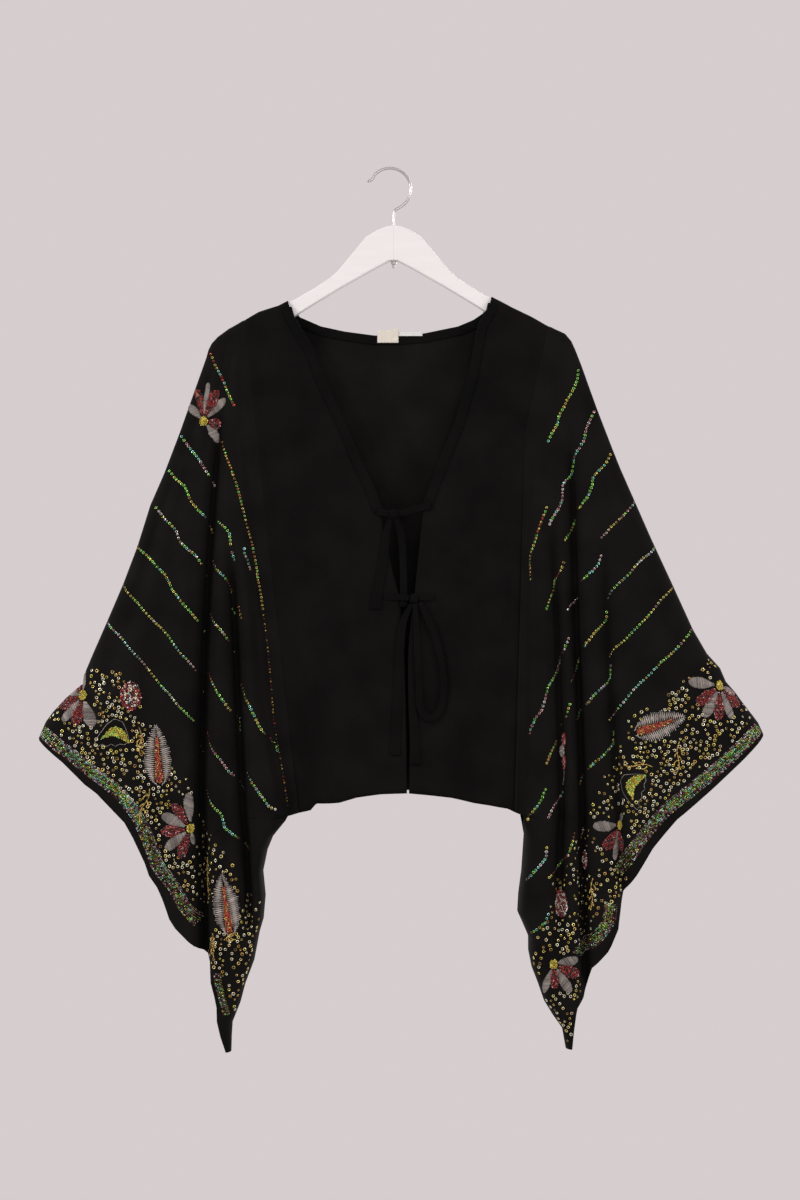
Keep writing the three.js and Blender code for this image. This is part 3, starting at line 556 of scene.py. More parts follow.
def crepe(name, lightness):
    """Black crepe: a crinkled weave and a slightly uneven tone, both from noise. Lightness sets
    how far the cloth stands off pure black; the lighter and darker copies of this same cloth are
    painted light and painted shade."""
    made, tree, shader = material(
        name, (0.004, 0.0037, 0.0034), 0.8, Sheen_Weight=0.03, Sheen_Roughness=0.4,
    )
    shader.inputs["Specular IOR Level"].default_value = 0.07
    shader.inputs["Sheen Tint"].default_value = (0.62, 0.58, 0.55, 1)
    patches = noise(tree, object_place(tree), 22.0, 3.0)
    crinkle = noise(tree, object_place(tree), 900.0, 3.0, 0.6)
    dark, light = ([lightness * part for part in tone] for tone in CREPE_TONES)
    tree.links.new(tones(tree, patches, dark, light, 0.3, 0.75), shader.inputs["Base Color"])
    bump(tree, shader, crinkle, 0.5, 0.0005)
    return made


def tinted(name, roughness, metallic, coat, low=0.7, high=1.25):
    """Small trim whose colour is its own tint attribute, painted highlights and shade included, made
    uneven between two factors.
    """
    made, tree, shader = material(name, (1, 1, 1), roughness, Metallic=metallic, Coat_Weight=coat)
    tint = node(tree, "ShaderNodeAttribute", attribute_name="tint")
    speckle = noise(tree, object_place(tree), 700.0, 2.0)
    shaded(tree, shader, tint.outputs["Color"], spread(tree, speckle, low, high))
    return made


JOINT_HALF_WIDTH = 0.0006


def white_paint():
    """Satin white paint on wood: faint grain along the arms and the joint at the middle."""
    made, tree, shader = material("white_paint", (0.8, 0.79, 0.77), 0.42)
    stretch = node(tree, "ShaderNodeMapping")
    stretch.inputs["Scale"].default_value = (14, 300, 160)
    tree.links.new(object_place(tree), stretch.inputs["Vector"])
    grain = noise(tree, stretch.outputs["Vector"], 1.0, 4.0)
    split = node(tree, "ShaderNodeSeparateXYZ")
    tree.links.new(object_place(tree), split.inputs["Vector"])
    from_middle = node(tree, "ShaderNodeMath", operation="ABSOLUTE")
    tree.links.new(split.outputs["X"], from_middle.inputs[0])
    joint = spread(tree, from_middle.outputs["Value"], 0.82, 1.0, JOINT_HALF_WIDTH)
    shaded(tree, shader, tones(tree, grain, (0.73, 0.72, 0.7), (0.8, 0.79, 0.77)), joint)
    bump(tree, shader, grain, 0.12, 0.0004)
    return made


def brushed(name, colour, roughness):
    """Plated wire: bright metal with fine wear in its gloss."""
    made, tree, shader = material(name, colour, roughness, Metallic=1.0)
    wear = noise(tree, object_place(tree), 240.0, 3.0)
    gloss = spread(tree, wear, roughness * 0.7, roughness * 1.6)
    tree.links.new(gloss, shader.inputs["Roughness"])
    return made


def tape(name, colour):
    """Plain woven tape: warp and weft lines across X and Z."""
    made, tree, shader = material(name, colour, 0.85, Sheen_Weight=0.2)
    both = node(tree, "ShaderNodeMath", operation="ADD")
    for k, way in enumerate("XZ"):
        threads = node(tree, "ShaderNodeTexWave", Scale=900.0, bands_direction=way)
        tree.links.new(object_place(tree), threads.inputs["Vector"])
        tree.links.new(threads.outputs["Fac"], both.inputs[k])
    bump(tree, shader, both.outputs["Value"], 0.4, 0.0003)
    return made


CREPE = crepe("black_crepe", 1.0)
# Painted light: the same black crepe made lighter for the back and for the sleeves, where they read lit.
LIT_BACK_CREPE = crepe("lit_back_crepe", 1.5)
LIT_SLEEVE_CREPE = crepe("lit_sleeve_crepe", 1.4)
# Painted shade: the same black crepe made darker for the bindings, ties and knots, which stand forward and
# catch more light.
SHADED_TIE_AND_BINDING_CREPE = crepe("binding_crepe", 0.68)
PAINT = white_paint()
PLATE = brushed("chrome_wire", (0.55, 0.54, 0.52), 0.26)
CREAM = tape("cream_tape", (0.72, 0.67, 0.58))
WHITE = tape("white_tape", (0.72, 0.72, 0.7))
SEQUIN = tinted("sequin_foil", 0.22, 0.8, 0.4)
BEAD = tinted("glass_bead", 0.22, 0.3, 0.3)
THREAD = tinted("satin_thread", 0.5, 0.2, 0.0, 0.35, 1.4)


def finish_piece(obj, made, slot, *replaced):
    """Gives a piece its material and its body, and hides the CAD parts that it replaces. The slot is not
    used.
    """
    obj.data.materials.clear()
    obj.data.materials.append(made)
    if replaced:
        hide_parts(*replaced)
    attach(obj, "root")
    return obj


# Sleeves

SLEEVE_COLUMNS = 80
SLEEVE_LEVEL_STEP = 4.2
FINE_COLUMNS = 420
CLOSEST_LEVELS = 0.35
SLEEVE_TOP_LEVELS = [0.4, 1.2]


def sleeve_grid(layer, levels):
    """Points and cloth coordinates of a layer: each level runs from the outer edge to the inner,
    its columns evenly spread along the arc, so that folds keep their share of points."""
    drop = levels[:, None]
    outer, inner = layer.edges(drop)
    out = mix(outer, inner, np.linspace(0, 1, FINE_COLUMNS)[None, :])
    arc = arc_length(out, layer.height(out, np.broadcast_to(drop, out.shape)))
    share = np.linspace(0, 1, SLEEVE_COLUMNS)
    out = np.array([np.interp(share * a[-1], a, o) for a, o in zip(arc, out)])
    arcs = share[None, :] * arc[:, -1:]
    drops = np.broadcast_to(drop, out.shape)
    uv = np.stack([arcs, -drops], axis=-1)
    return layer.point(out, drops), uv


def sleeve(side):
    """Both layers of a sleeve, joined along the top fold and the lower edge."""
    key_levels = np.concatenate([side.outer["drop"], side.inner["drop"]])
    steps = np.arange(side.armhole_top + FIRST_LEVEL, side.tip - FIRST_LEVEL, SLEEVE_LEVEL_STEP)
    top_levels = side.armhole_top + np.array(SLEEVE_TOP_LEVELS)
    levels = np.unique(np.concatenate([key_levels, steps, top_levels, [side.hem_corner + 2]]))
    levels = levels[np.concatenate([[True], np.diff(levels) > CLOSEST_LEVELS])]
    points, faces, uvs = [], [], []
    for k, layer in enumerate(LAYERS[side.name]):
        grid, uv = sleeve_grid(layer, levels)
        flipped = (side is RIGHT) == layer.is_front
        faces.append(grid_faces(len(levels), SLEEVE_COLUMNS, k * grid[..., 0].size, flipped))
        points.append(grid.reshape(-1, 3))
        uvs.append(uv.reshape(-1, 2))
    obj = new_mesh(
        f"embroidered_sleeve_{side.name}", np.concatenate(points), np.concatenate(faces),
        uv=np.concatenate(uvs),
    )
    return walled(obj, CLOTH)


for side in SIDES:
    made = finish_piece(sleeve(side), LIT_SLEEVE_CREPE, "black_crepe", f"sleeve_{side.name}")

# Plain panels of the body

LEFT.shoulder = table("out drop", [
    [132, 164], [143.4, 170], [159.6, 175], [168.4, 178], [177, 183], [186, 188.5],
])
RIGHT.shoulder = table("out drop", [
    [122, 159], [134, 165], [148, 172.5], [171.6, 183.8], [180.4, 188.8], [193, 196],
])
LEFT.centre_edge = table("drop out", [
    [164, 132], [185, 126], [196, 119.6], [222, 103.4], [267, 86], [317, 62], [365, 42],
    [402, 24.6], [430, 14.6], [462, 9.6], [500, 2], [535, -8], [600, -13], [690, -15.4],
    [777, -16.6],
])
RIGHT.centre_edge = table("drop out", [
    [159, 122], [176, 118], [196, 106.6], [255, 96.6], [315, 79], [361, 60.4], [421, 37.9],
    [450, 34], [500, 29], [535, 25.4], [600, 23], [690, 20.6], [777, 19],
])
LEFT.hem = table("out drop", [
    [-16.6, 777], [15, 778], [46, 782.5], [68, 789], [98, 790], [103, 798], [118, 801],
])
RIGHT.hem = table("out drop", [[19, 777], [72, 782.5], [99, 789], [142, 796], [150, 800]])
BACK_NECK = table("x drop", [
    [-132, 164], [-119.6, 184], [-92, 196], [-62, 202.5], [-24.6, 207.5], [7.9, 207.5],
    [37.9, 205], [81.6, 196], [101.6, 187.5], [114, 179], [122, 159],
])
SHOULDER_SLOPE = 0.52
BACK_SIDES = (-186, 193)
BACK_HEM_HIGHER = 1
PANEL_FOLD = "out0 out1 from to width depth"
LEFT.panel_folds = table(PANEL_FOLD, [
    [150, 96, 560, 900, 9, 5], [120, 58, 300, 1100, 24, 2.5], [150, 118, 330, 700, 12, 2],
    [66, 30, 420, 1100, 15, 1.4], [168, 112, 260, 800, 7, 1.3], [100, 76, 600, 1100, 8, -1.5],
    [88, 44, 250, 640, 10, 1.1],
])
RIGHT.panel_folds = table(PANEL_FOLD, [
    [120, 92, 350, 1100, 26, 2.5], [60, 44, 480, 1100, 16, 2], [160, 132, 250, 760, 9, 1.4],
    [92, 70, 560, 1100, 9, -1.4], [134, 118, 620, 1100, 8, 1.8], [76, 60, 300, 620, 10, 1],
])
BACK_FOLDS = table(PANEL_FOLD, [
    [-120, -96, 300, 1100, 26, 4], [-30, -20, 340, 1100, 30, 3], [70, 52, 300, 1100, 28, 4],
    [140, 120, 500, 1100, 18, 3], [-156, -130, 250, 760, 9, 1.4], [10, 16, 480, 1100, 12, -1.4],
    [100, 88, 560, 1100, 9, 1.5], [-74, -62, 540, 1100, 10, 1.6],
])
HEM_DROP = 805
SOFT_START = 140
SOFT_END = 100
PANEL_RIPPLE = 0.7
ROUNDED_ROWS = [0, 0.00025, 0.0013, 0.004, 0.008, 0.012, 0.02, 0.03]
PANEL_ROWS = 100
FRONT_COLUMNS = 46
BACK_COLUMNS = 70


def soft_folds(folds, out, drop):
    """Sum of soft vertical valleys: each a bell about a line that slants from out0 to out1."""
    depth = 0
    for f in rows_of(folds):
        middle = mix(f["out0"], f["out1"], np.clip((drop - f["from"]) / (HEM_DROP - f["from"]), 0, 1))
        strength = smooth((drop - f["from"]) / SOFT_START) * smooth((f["to"] - drop) / SOFT_END)
        depth = depth + f["depth"] * strength * bell((out - middle) / f["width"])
    return depth


def away_from_edges(across):
    """0 at both sides of a panel, 1 from an eighth of its width in."""
    return smooth(across * 8) * smooth((1 - across) * 8)


def panel_rows():
    """Shares of the way from the shoulder to the hem, close together over the shoulder seam."""
    return np.concatenate([ROUNDED_ROWS, np.linspace(0.04, 1, PANEL_ROWS)])[:, None]


def front_points(side, row, across):
    """A front: rows from the shoulder line to the hem, columns from centre edge to armhole; its
    depth is the body's, less the soft folds."""
    neck_out, neck_drop = side.shoulder["out"][0], side.shoulder["drop"][0]
    hem_in, hem_side = side.hem["drop"][0], side.hem["drop"][-1]
    drop_in = mix(neck_drop, hem_in, row)
    drop_seam = mix(side.armhole_top, hem_side, row)
    out_in = read(side.centre_edge, "drop", "out", drop_in)
    out_seam = read(side.inner, "drop", "out", drop_seam) - SEAM_GAP / 2
    out = mix(out_in, out_seam, across)
    top_out = mix(neck_out, side.inner["out"][0], across)
    top_rise = read(side.shoulder, "out", "drop", top_out) - mix(neck_drop, side.armhole_top, across)
    hem_out = mix(side.hem["out"][0], side.hem["out"][-1], across)
    hem_rise = read(side.hem, "out", "drop", hem_out) - mix(hem_in, hem_side, across)
    drop = mix(drop_in, drop_seam, across) + top_rise * (1 - row) ** 6 + hem_rise * row ** 6
    folds = soft_folds(side.panel_folds, out, drop) + PANEL_RIPPLE * ripple(out, drop, 0.4 + side.sign)
    folds = folds * away_from_edges(across) * smooth(row * 9)
    depth = body_depth(drop, row * (hem_in - neck_drop)) - folds
    return np.stack([side.sign * out, -depth, -drop - CLOTH / 2], axis=-1)


def shoulder_line(side, out):
    """A side's shoulder line, carried on inside the neck at the hanger's slope."""
    neck_out = side.shoulder["out"][0]
    inside = np.maximum(0, neck_out - out) * SHOULDER_SLOPE
    return read(side.shoulder, "out", "drop", np.maximum(out, neck_out)) - inside


def ridge_drop(x):
    """The shoulder line over both sides."""
    return np.where(x < 0, shoulder_line(LEFT, -x), shoulder_line(RIGHT, x))


def back_top(x):
    """The back's top edge: the neck curve, and the shoulder line beside it."""
    on_neck = read(BACK_NECK, "x", "drop", x)
    on_shoulder = (x < BACK_NECK["x"][0]) | (x > BACK_NECK["x"][-1])
    return np.where(on_shoulder, ridge_drop(x), on_neck)


def back_depth(x, drop, ridge_x):
    """The body's depth less the back's soft folds."""
    return body_depth(drop, drop - ridge_drop(ridge_x)) - soft_folds(BACK_FOLDS, x, drop)


def back_points(row, across):
    """The back: columns from the left armhole to the right one, the top cut to the neck curve."""
    drop_left = mix(LEFT.armhole_top, LEFT.hem["drop"][-1], row)
    drop_right = mix(RIGHT.armhole_top, RIGHT.hem["drop"][-1], row)
    seam_left = -read(LEFT.inner, "drop", "out", drop_left) + SEAM_GAP / 2
    seam_right = read(RIGHT.inner, "drop", "out", drop_right) - SEAM_GAP / 2
    x = mix(seam_left, seam_right, across)
    top_x = mix(*BACK_SIDES, across)
    top_rise = back_top(top_x) - mix(LEFT.armhole_top, RIGHT.armhole_top, across)
    hem_x = mix(-LEFT.hem["out"][-1], RIGHT.hem["out"][-1], across)
    left_hem, right_hem = (read(side.hem, "out", "drop", side.sign * hem_x) for side in SIDES)
    hem = np.where(hem_x < 0, left_hem, right_hem) - BACK_HEM_HIGHER
    hem_rise = hem - mix(LEFT.hem["drop"][-1], RIGHT.hem["drop"][-1], across)
    drop = (
        mix(drop_left, drop_right, across) + top_rise * (1 - row) ** 1.5
        + hem_rise * row ** 3 * away_from_edges(across)
    )
    fine = PANEL_RIPPLE * ripple(x, drop, 2.2) * away_from_edges(across) * smooth(row * 9)
    return np.stack([x, back_depth(x, drop, top_x) - fine, -drop - CLOTH / 2], axis=-1)


def panel(name, points, flipped):
    """A sheet from a grid of points, with its places across and down as cloth coordinates."""
    rows, columns = points.shape[:2]
    uv = np.stack([points[..., 0], points[..., 2]], axis=-1).reshape(-1, 2)
    obj = new_mesh(name, points.reshape(-1, 3), grid_faces(rows, columns, 0, flipped), uv=uv)
    return walled(obj, CLOTH)


fronts = {}
for side in SIDES:
    grid = front_points(side, panel_rows(), np.linspace(0, 1, FRONT_COLUMNS)[None, :])
    made = panel(f"plain_front_{side.name}", grid, side is RIGHT)
    fronts[side.name] = finish_piece(made, CREPE, "black_crepe", f"front_{side.name}")
neck_across = (BACK_NECK["x"] - BACK_SIDES[0]) / (BACK_SIDES[1] - BACK_SIDES[0])
back_across = np.unique(np.concatenate([np.linspace(0, 1, BACK_COLUMNS), neck_across]))
back = panel("plain_back", back_points(panel_rows(), back_across[None, :]), True)
finish_piece(back, LIT_BACK_CREPE, "black_crepe", "back")

# Bindings and ties

# A binding's width on the cloth, its room over the cloth, its wall, and where and how far it
# turns over the cut edge.
BAND_WIDTH = 9
BAND_ROOM = 0.9
BAND_WALL = 1
BAND_MIDDLE = -1.3
BAND_TURN = 1.4


def band_profile():
    """U section: in along its face, round the cut edge in a half ellipse, out along its other
    face, and back the same way on its inside."""
    turn = np.linspace(0, math.pi, 9)
    outer, inner, edge = BAND_ROOM + BAND_WALL, BAND_ROOM, BAND_WIDTH
    far = [[edge, outer], [edge - 1, outer + 0.25], [3, outer + 0.1]]
    over = np.stack([BAND_MIDDLE - BAND_TURN * np.sin(turn), outer * np.cos(turn)], axis=1)
    under = [[3, -outer - 0.1], [edge - 1, -outer - 0.2], [edge, -outer], [edge, -inner]]
    inner_turn = BAND_TURN - BAND_WALL
    inside = np.stack([BAND_MIDDLE - inner_turn * np.sin(turn), inner * np.cos(turn)], axis=1)
    return np.concatenate([far, over, under, inside[::-1], [[edge, inner]]])


def band(name, edge, surface, towards):
    """A binding: the U section carried along a cut edge. Each (in, lift) of the section is a
    distance in from the edge and a height over the cloth there, faintly puckered."""
    profile = band_profile()
    along = unit(np.gradient(edge, axis=0))
    inwards = np.stack([-along[:, 1], along[:, 0]], axis=1) * towards
    into, lift = profile[None, :, 0], profile[None, :, 1]
    x = edge[:, :1] + inwards[:, :1] * into
    drop = edge[:, 1:] + inwards[:, 1:] * into
    depth = surface(edge[:, :1] + inwards[:, :1] * np.maximum(0, into), drop)
    length = np.cumsum(np.hypot(*np.gradient(edge, axis=0).T))[:, None]
    pucker = 0.12 * np.sin(length * 0.9 + 1.7 * np.sin(length * 0.13))
    points = np.stack([x, depth - lift - pucker * np.sign(lift), -drop - CLOTH / 2], axis=-1)
    return closed_tube(name, points)


def closed_tube(name, rings):
    """A closed solid through rings of points, each end drawn in to its middle."""
    first = np.repeat(rings[:1].mean(axis=1, keepdims=True), rings.shape[1], axis=1)
    last = np.repeat(rings[-1:].mean(axis=1, keepdims=True), rings.shape[1], axis=1)
    rings = np.concatenate([first, rings, last])
    count = rings.shape[1]
    i, j = np.meshgrid(np.arange(len(rings) - 1), np.arange(count), indexing="ij")
    k = (j + 1) % count
    faces = np.stack([i * count + j, i * count + k, (i + 1) * count + k, (i + 1) * count + j], -1)
    tube = new_mesh(name, rings.reshape(-1, 3), faces.reshape(-1, 4))
    return merged(tube, TUBE_MERGE, is_closed=True)


LEFT.bound, RIGHT.bound = (172.5, 426), (167.5, 417)
BACK_BOUND = (-126, 117.5)


def front_edge(side):
    """The V neck edge of a front, (x, drop), down to the upper tie."""
    drop = np.linspace(*side.bound, 120)
    return np.stack([side.sign * read(side.centre_edge, "drop", "out", drop), drop], axis=1)


def front_surface(x, drop):
    """Where the fronts lie under their bindings, the soft folds left out."""
    return -body_depth(drop, RIDGE_HEIGHT)


def back_surface(x, drop):
    """Where the back lies under its binding and its label."""
    return back_depth(x, np.maximum(drop, back_top(x)), x)


neck_x = np.linspace(*BACK_BOUND, 150)
neck_edge = np.stack([neck_x, read(BACK_NECK, "x", "drop", neck_x)], axis=1)
bands = {
    "left": (band("binding_left", front_edge(LEFT), front_surface, 1), 0.28, fronts["left"]),
    "right": (band("binding_right", front_edge(RIGHT), front_surface, -1), 0.27, fronts["right"]),
    "back": (band("binding_back", neck_edge, back_surface, 1), 0.27, back),
}
for name, (made, length, held_on) in bands.items():
    finish_piece(made, SHADED_TIE_AND_BINDING_CREPE, "black_crepe", f"neck_band_{name}")

# Each tie piece has its route over the fronts and its length along the cloth, in metres.
ROUTE = "x drop lift width"
TIES = {
    "tie_upper_strap_left": ([
        [-21, 428, 2.3, 9], [-13, 429, 2.8, 8], [-6.95, 430.5, 4.4, 7],
    ], 0.016),
    "tie_upper_strap_right": ([
        [46, 420, 2.3, 9], [30, 424, 2.4, 8], [16, 428, 3, 8], [5.6, 430, 4.4, 7],
    ], 0.042),
    "tie_upper_tail_left": ([
        [-4.4, 437.4, 4.4, 6], [-9, 455, 2, 9], [-13, 490, 1.1, 11], [-20, 525, 1, 13],
        [-22, 549, 1, 14],
    ], 0.114),
    "tie_upper_tail_right": ([
        [3.4, 437.4, 4.4, 6], [9, 455, 2, 8], [12, 500, 1.1, 8.5], [12.6, 546, 1, 9],
    ], 0.11),
    "tie_lower_strap_left": ([
        [-12, 534, 1, 8], [-2, 534, 1.4, 8], [7, 534, 3, 8], [19, 535, 4.6, 7],
    ], 0.032),
    "tie_lower_strap_right": ([
        [50, 533, 0.9, 8], [42, 534, 1.4, 8], [31.7, 535, 4.6, 7],
    ], 0.019),
    "tie_lower_loop": ([
        [32.4, 540.6, 6, 6], [40, 556, 3.6, 8], [52, 585, 2, 9], [61, 625, 1.4, 9],
        [62, 655, 1.2, 9], [56, 676, 1.2, 9], [44, 684, 1.4, 9], [34, 674, 2.6, 9],
        [31, 640, 3, 8], [29, 590, 4.4, 8], [26.4, 541.9, 6.9, 6],
    ], 0.315),
    "tie_lower_tail_left": ([
        [22.4, 542.3, 5.1, 5], [12, 565, 3, 9], [6, 638, 1.4, 11], [3, 700, 1, 12],
        [2, 730, 1, 13],
    ], 0.19),
    "tie_lower_tail_right": ([
        [26.4, 542, 3.4, 5], [22.6, 594, 1.4, 8], [23.4, 666, 1, 10], [26, 710, 1, 12],
        [27, 742, 1, 13],
    ], 0.2),
}
TIE_THICKNESS = 1.2


def through(points, steps):
    """Smooth line through points: each stretch a centripetal cubic between its two ends."""
    points = np.asarray(points, float)
    ends = np.concatenate([2 * points[:1] - points[1:2], points, 2 * points[-1:] - points[-2:-1]])
    made = []
    for k in range(len(points) - 1):
        p = ends[k:k + 4]
        t = run_length(p[:, :3], 0.5)
        s = np.linspace(t[1], t[2], steps, endpoint=k == len(points) - 2)[:, None]
        a = [((t[i + 1] - s) * p[i] + (s - t[i]) * p[i + 1]) / (t[i + 1] - t[i]) for i in range(3)]
        b = [((t[i + 2] - s) * a[i] + (s - t[i]) * a[i + 1]) / (t[i + 2] - t[i]) for i in range(2)]
        made.append(((t[2] - s) * b[0] + (s - t[1]) * b[1]) / (t[2] - t[1]))
    return np.concatenate(made)


def strip(name, route):
    """A flat folded strip facing the front: a rounded oblong section carried along its route."""
    depth = body_depth(route["drop"], RIDGE_HEIGHT) + CLOTH / 2 + route["lift"]
    line = through(np.stack([route["x"], -depth, -route["drop"], route["width"]], axis=1), 14)
    centre, width = line[:, :3], line[:, 3:]
    along = np.gradient(centre, axis=0)
    across = unit(np.stack([along[:, 2], np.zeros(len(along)), -along[:, 0]], axis=1))
    face = unit(np.cross(across, along))
    turn = np.linspace(0, 2 * math.pi, 17)[:-1]
    u = np.sign(np.cos(turn)) * np.abs(np.cos(turn)) ** 0.5
    v = np.sign(np.sin(turn)) * np.abs(np.sin(turn)) ** 0.7
    groove = 1 - 0.22 * bell(u / 0.35)
    rings = (
        centre[:, None] + across[:, None] * (u[None, :, None] * width[:, None] / 2)
        + face[:, None] * (v * groove)[None, :, None] * TIE_THICKNESS / 2
    )
    return closed_tube(name, rings)


for name, (rows, length) in TIES.items():
    route = table(ROUTE, rows)
    made = finish_piece(strip(name + "_cloth", route), SHADED_TIE_AND_BINDING_CREPE, "black_crepe", name)


KNOT_RADIUS = 6
KNOT_HALF_DEPTH = 3.6
KNOT_LIFT = 5


def knot(name, x, drop):
    """A small knot: a squat rounded bundle with slanting folds wound round it."""
    lat = np.linspace(-math.pi / 2, math.pi / 2, 25)[:, None]
    turn = np.linspace(0, 2 * math.pi, 37)[None, :-1]
    wound = 1 - 0.13 * np.abs(np.sin(1.5 * turn + 2.2 * lat)) ** 4 - 0.1 * bell((lat - 0.35) / 0.16)
    round_lat = np.cos(lat) ** 0.7
    middle = -(body_depth(drop, RIDGE_HEIGHT) + CLOTH / 2 + KNOT_LIFT)
    points = np.stack([
        x + KNOT_RADIUS * round_lat * np.cos(turn) * wound,
        middle + KNOT_HALF_DEPTH * round_lat * np.sin(turn) * wound,
        -drop + KNOT_RADIUS * np.sin(lat) * wound,
    ], axis=-1)
    return closed_tube(name, points)


for name, x, drop in (("tie_upper_knot", -0.6, 431), ("tie_lower_knot", 25.4, 535.5)):
    finish_piece(knot(name + "_cloth", x, drop), SHADED_TIE_AND_BINDING_CREPE, "black_crepe", name)

# Label and strip inside the back neck

TAPE_WALL = 0.5
TAPE_LIFT = BAND_ROOM + BAND_WALL + SEAM_GAP + TAPE_WALL


def neck_tab(name, x0, x1, top, bottom, curl):
    """A small flat tape before the binding: its upper right corner turns up and forward."""
    rows, columns = 12, 20
    x = np.linspace(x0, x1, columns)[None, :] * np.ones((rows, 1))
    drop = np.linspace(top, bottom, rows)[:, None] * np.ones((1, columns))
    to_right, to_top = (x - x0) / (x1 - x0), (bottom - drop) / (bottom - top)
    corner = smooth(to_right * 1.6 - 0.6) * smooth(to_top * 1.6 - 0.6)
    depth = back_surface(x, drop) - TAPE_LIFT - curl * corner
    points = np.stack([x, depth + 0.15 * np.sin(x * 0.5), -drop + 1.6 * curl * corner], axis=-1)
    obj = new_mesh(name, points.reshape(-1, 3), grid_faces(rows, columns, 0, False))
    return walled(obj, TAPE_WALL)


label = neck_tab("neck_label", -20.5, 6, 199, 215, 1.6)
finish_piece(label, CREAM, "cream_tape", "label")
label_strip = neck_tab("neck_strip", 6.6, 36, 201.5, 206.5, 0.3)
finish_piece(label_strip, WHITE, "white_tape", "label_strip")

# Hook

HOOK_RADIUS = 26
WIRE_RADIUS = 1.75
HOOK_TOP_X = -4.6
HOOK_TIP = [[-33.4, 0, -14.5]]
HOOK_STEM = [[1.2, 0, -51], [0, 0, -58], [0, 0, -64], [0, 0, -69.7]]


def wire(name, line, radius):
    """Round wire: a circle carried along a line in the XZ plane, its free tip rounded off."""
    side_way = np.cross(unit(np.gradient(line, axis=0)), [0, 1, 0])
    turn = np.linspace(0, 2 * math.pi, 21)[:-1]
    near_tip = np.clip(run_length(line) / radius, 0.02, 1)
    grown = radius * np.sqrt(1 - (1 - near_tip) ** 2)
    rings = line[:, None] + grown[:, None, None] * (
        side_way[:, None] * np.cos(turn)[None, :, None]
        + np.array([0, 1, 0])[None, None] * np.sin(turn)[None, :, None]
    )
    return closed_tube(name, rings)


centre_z = -math.sqrt((HOOK_RADIUS - WIRE_RADIUS) ** 2 - HOOK_TOP_X ** 2)
angles = np.radians([154, 132, 110, 88, 66, 44, 22, 0, -22, -44, -64])
loop_x = HOOK_TOP_X + HOOK_RADIUS * np.cos(angles)
loop_z = centre_z + HOOK_RADIUS * np.sin(angles)
hook_line = np.concatenate([HOOK_TIP, np.stack([loop_x, 0 * angles, loop_z], axis=1), HOOK_STEM])
finish_piece(wire("hook_wire", through(hook_line, 12), WIRE_RADIUS), PLATE, "chrome", "hook")

# Trim: sequins, beads and satin stitches sewn on the sleeves

GREEN = (0.33, 0.86, 0.15)
TEAL = (0.3, 0.78, 0.56)
GOLD = (0.74, 0.6, 0.14)
BRONZE = (0.5, 0.31, 0.08)
BRIGHT_GOLD = (1, 0.7, 0.27)
WHITE_GOLD = (1, 0.86, 0.54)
YELLOW = (0.56, 0.45, 0.04)
PEARL = (0.8, 0.76, 0.7)
SILVER = (0.36, 0.32, 0.285)
PINK = (0.58, 0.34, 0.33)
PLUM = (0.2, 0.03, 0.05)
RED = (0.27, 0.026, 0.024)
CORAL = (0.5, 0.075, 0.045)
ORANGE = (0.5, 0.2, 0.05)
DARK = (0.04, 0.034, 0.036)
TILT = 0.1


class Trim:
    """Everything sewn on one layer, kept as arrays: places, normals, directions, sizes, tints."""

    def __init__(self):
        self.kinds = {"sequins": [], "beads": [], "stitches": []}

    def add(self, kind, layer, out, drop, lift, size, tint, toward=None):
        """Items at (out, drop). size is a radius, or rows of half length and half width for
        stitches, and toward a second (out, drop) that each stitch points at."""
        out, drop = np.broadcast_arrays(np.asarray(out, float), np.asarray(drop, float))
        keep = layer.inside(out, drop)
        if not keep.any():
            return
        count = keep.sum()
        normal = layer.normal(out[keep], drop[keep])
        here = layer.point(out[keep], drop[keep])
        centre = here + normal * (CLOTH / 2 + lift)
        if toward is None:
            spin = rng.uniform(0, 2 * math.pi, count)
            flat = np.stack([np.cos(spin), 0 * spin, np.sin(spin)], axis=1)
            normal = unit(normal + rng.normal(0, TILT, (count, 3)))
        else:
            flat = layer.point(toward[0][keep], toward[1][keep]) - here
        along = unit(flat - normal * (flat * normal).sum(axis=1, keepdims=True), TINY)
        size = np.broadcast_to(size, len(keep) if np.ndim(size) < 2 else (len(keep), 2))[keep]
        if size.ndim == 1:
            size = np.stack([size, size], axis=1)
        tint = np.clip(np.broadcast_to(tint, (len(keep), 3))[keep], 0, 1)
        self.kinds[kind].append(np.concatenate([centre, normal, along, size, tint], axis=1))


def ring_shape(sides=7):
    """A sequin: a flat ring with a round hole, raised between its two rims."""
    turn = np.linspace(0, 2 * math.pi, sides + 1)[:-1]
    points = np.concatenate([
        np.stack([r * np.cos(turn), r * np.sin(turn), np.full(sides, h)], axis=1)
        for r, h in ((0.42, -0.04), (1, 0), (0.76, 0.24))
    ])
    faces = []
    for k in range(3):
        a, b = k * sides, (k + 1) % 3 * sides
        for j in range(sides):
            n = (j + 1) % sides
            faces.append([a + j, b + j, b + n, a + n])
    return points, np.array(faces)[:, ::-1]


def bead_shape(rings=2, sides=5):
    """A round bead: rings of points between two poles."""
    points = [[0, 0, 1]]
    for i in range(1, rings + 1):
        lat = math.pi * i / (rings + 1)
        for j in range(sides):
            turn = 2 * math.pi * (j + 0.5 * (i % 2)) / sides
            points.append([math.sin(lat) * math.cos(turn), math.sin(lat) * math.sin(turn), math.cos(lat)])
    points.append([0, 0, -1])
    faces = []
    last = len(points) - 1
    for j in range(sides):
        n = (j + 1) % sides
        faces.append([0, 1 + j, 1 + n])
        faces.append([last, 1 + (rings - 1) * sides + n, 1 + (rings - 1) * sides + j])
        for i in range(rings - 1):
            a, b = 1 + i * sides, 1 + (i + 1) * sides
            if i % 2 == 0:
                faces += [[a + j, b + n, a + n], [a + j, b + j, b + n]]
            else:
                faces += [[a + j, b + j, a + n], [a + n, b + j, b + n]]
    return np.array(points), np.array(faces)


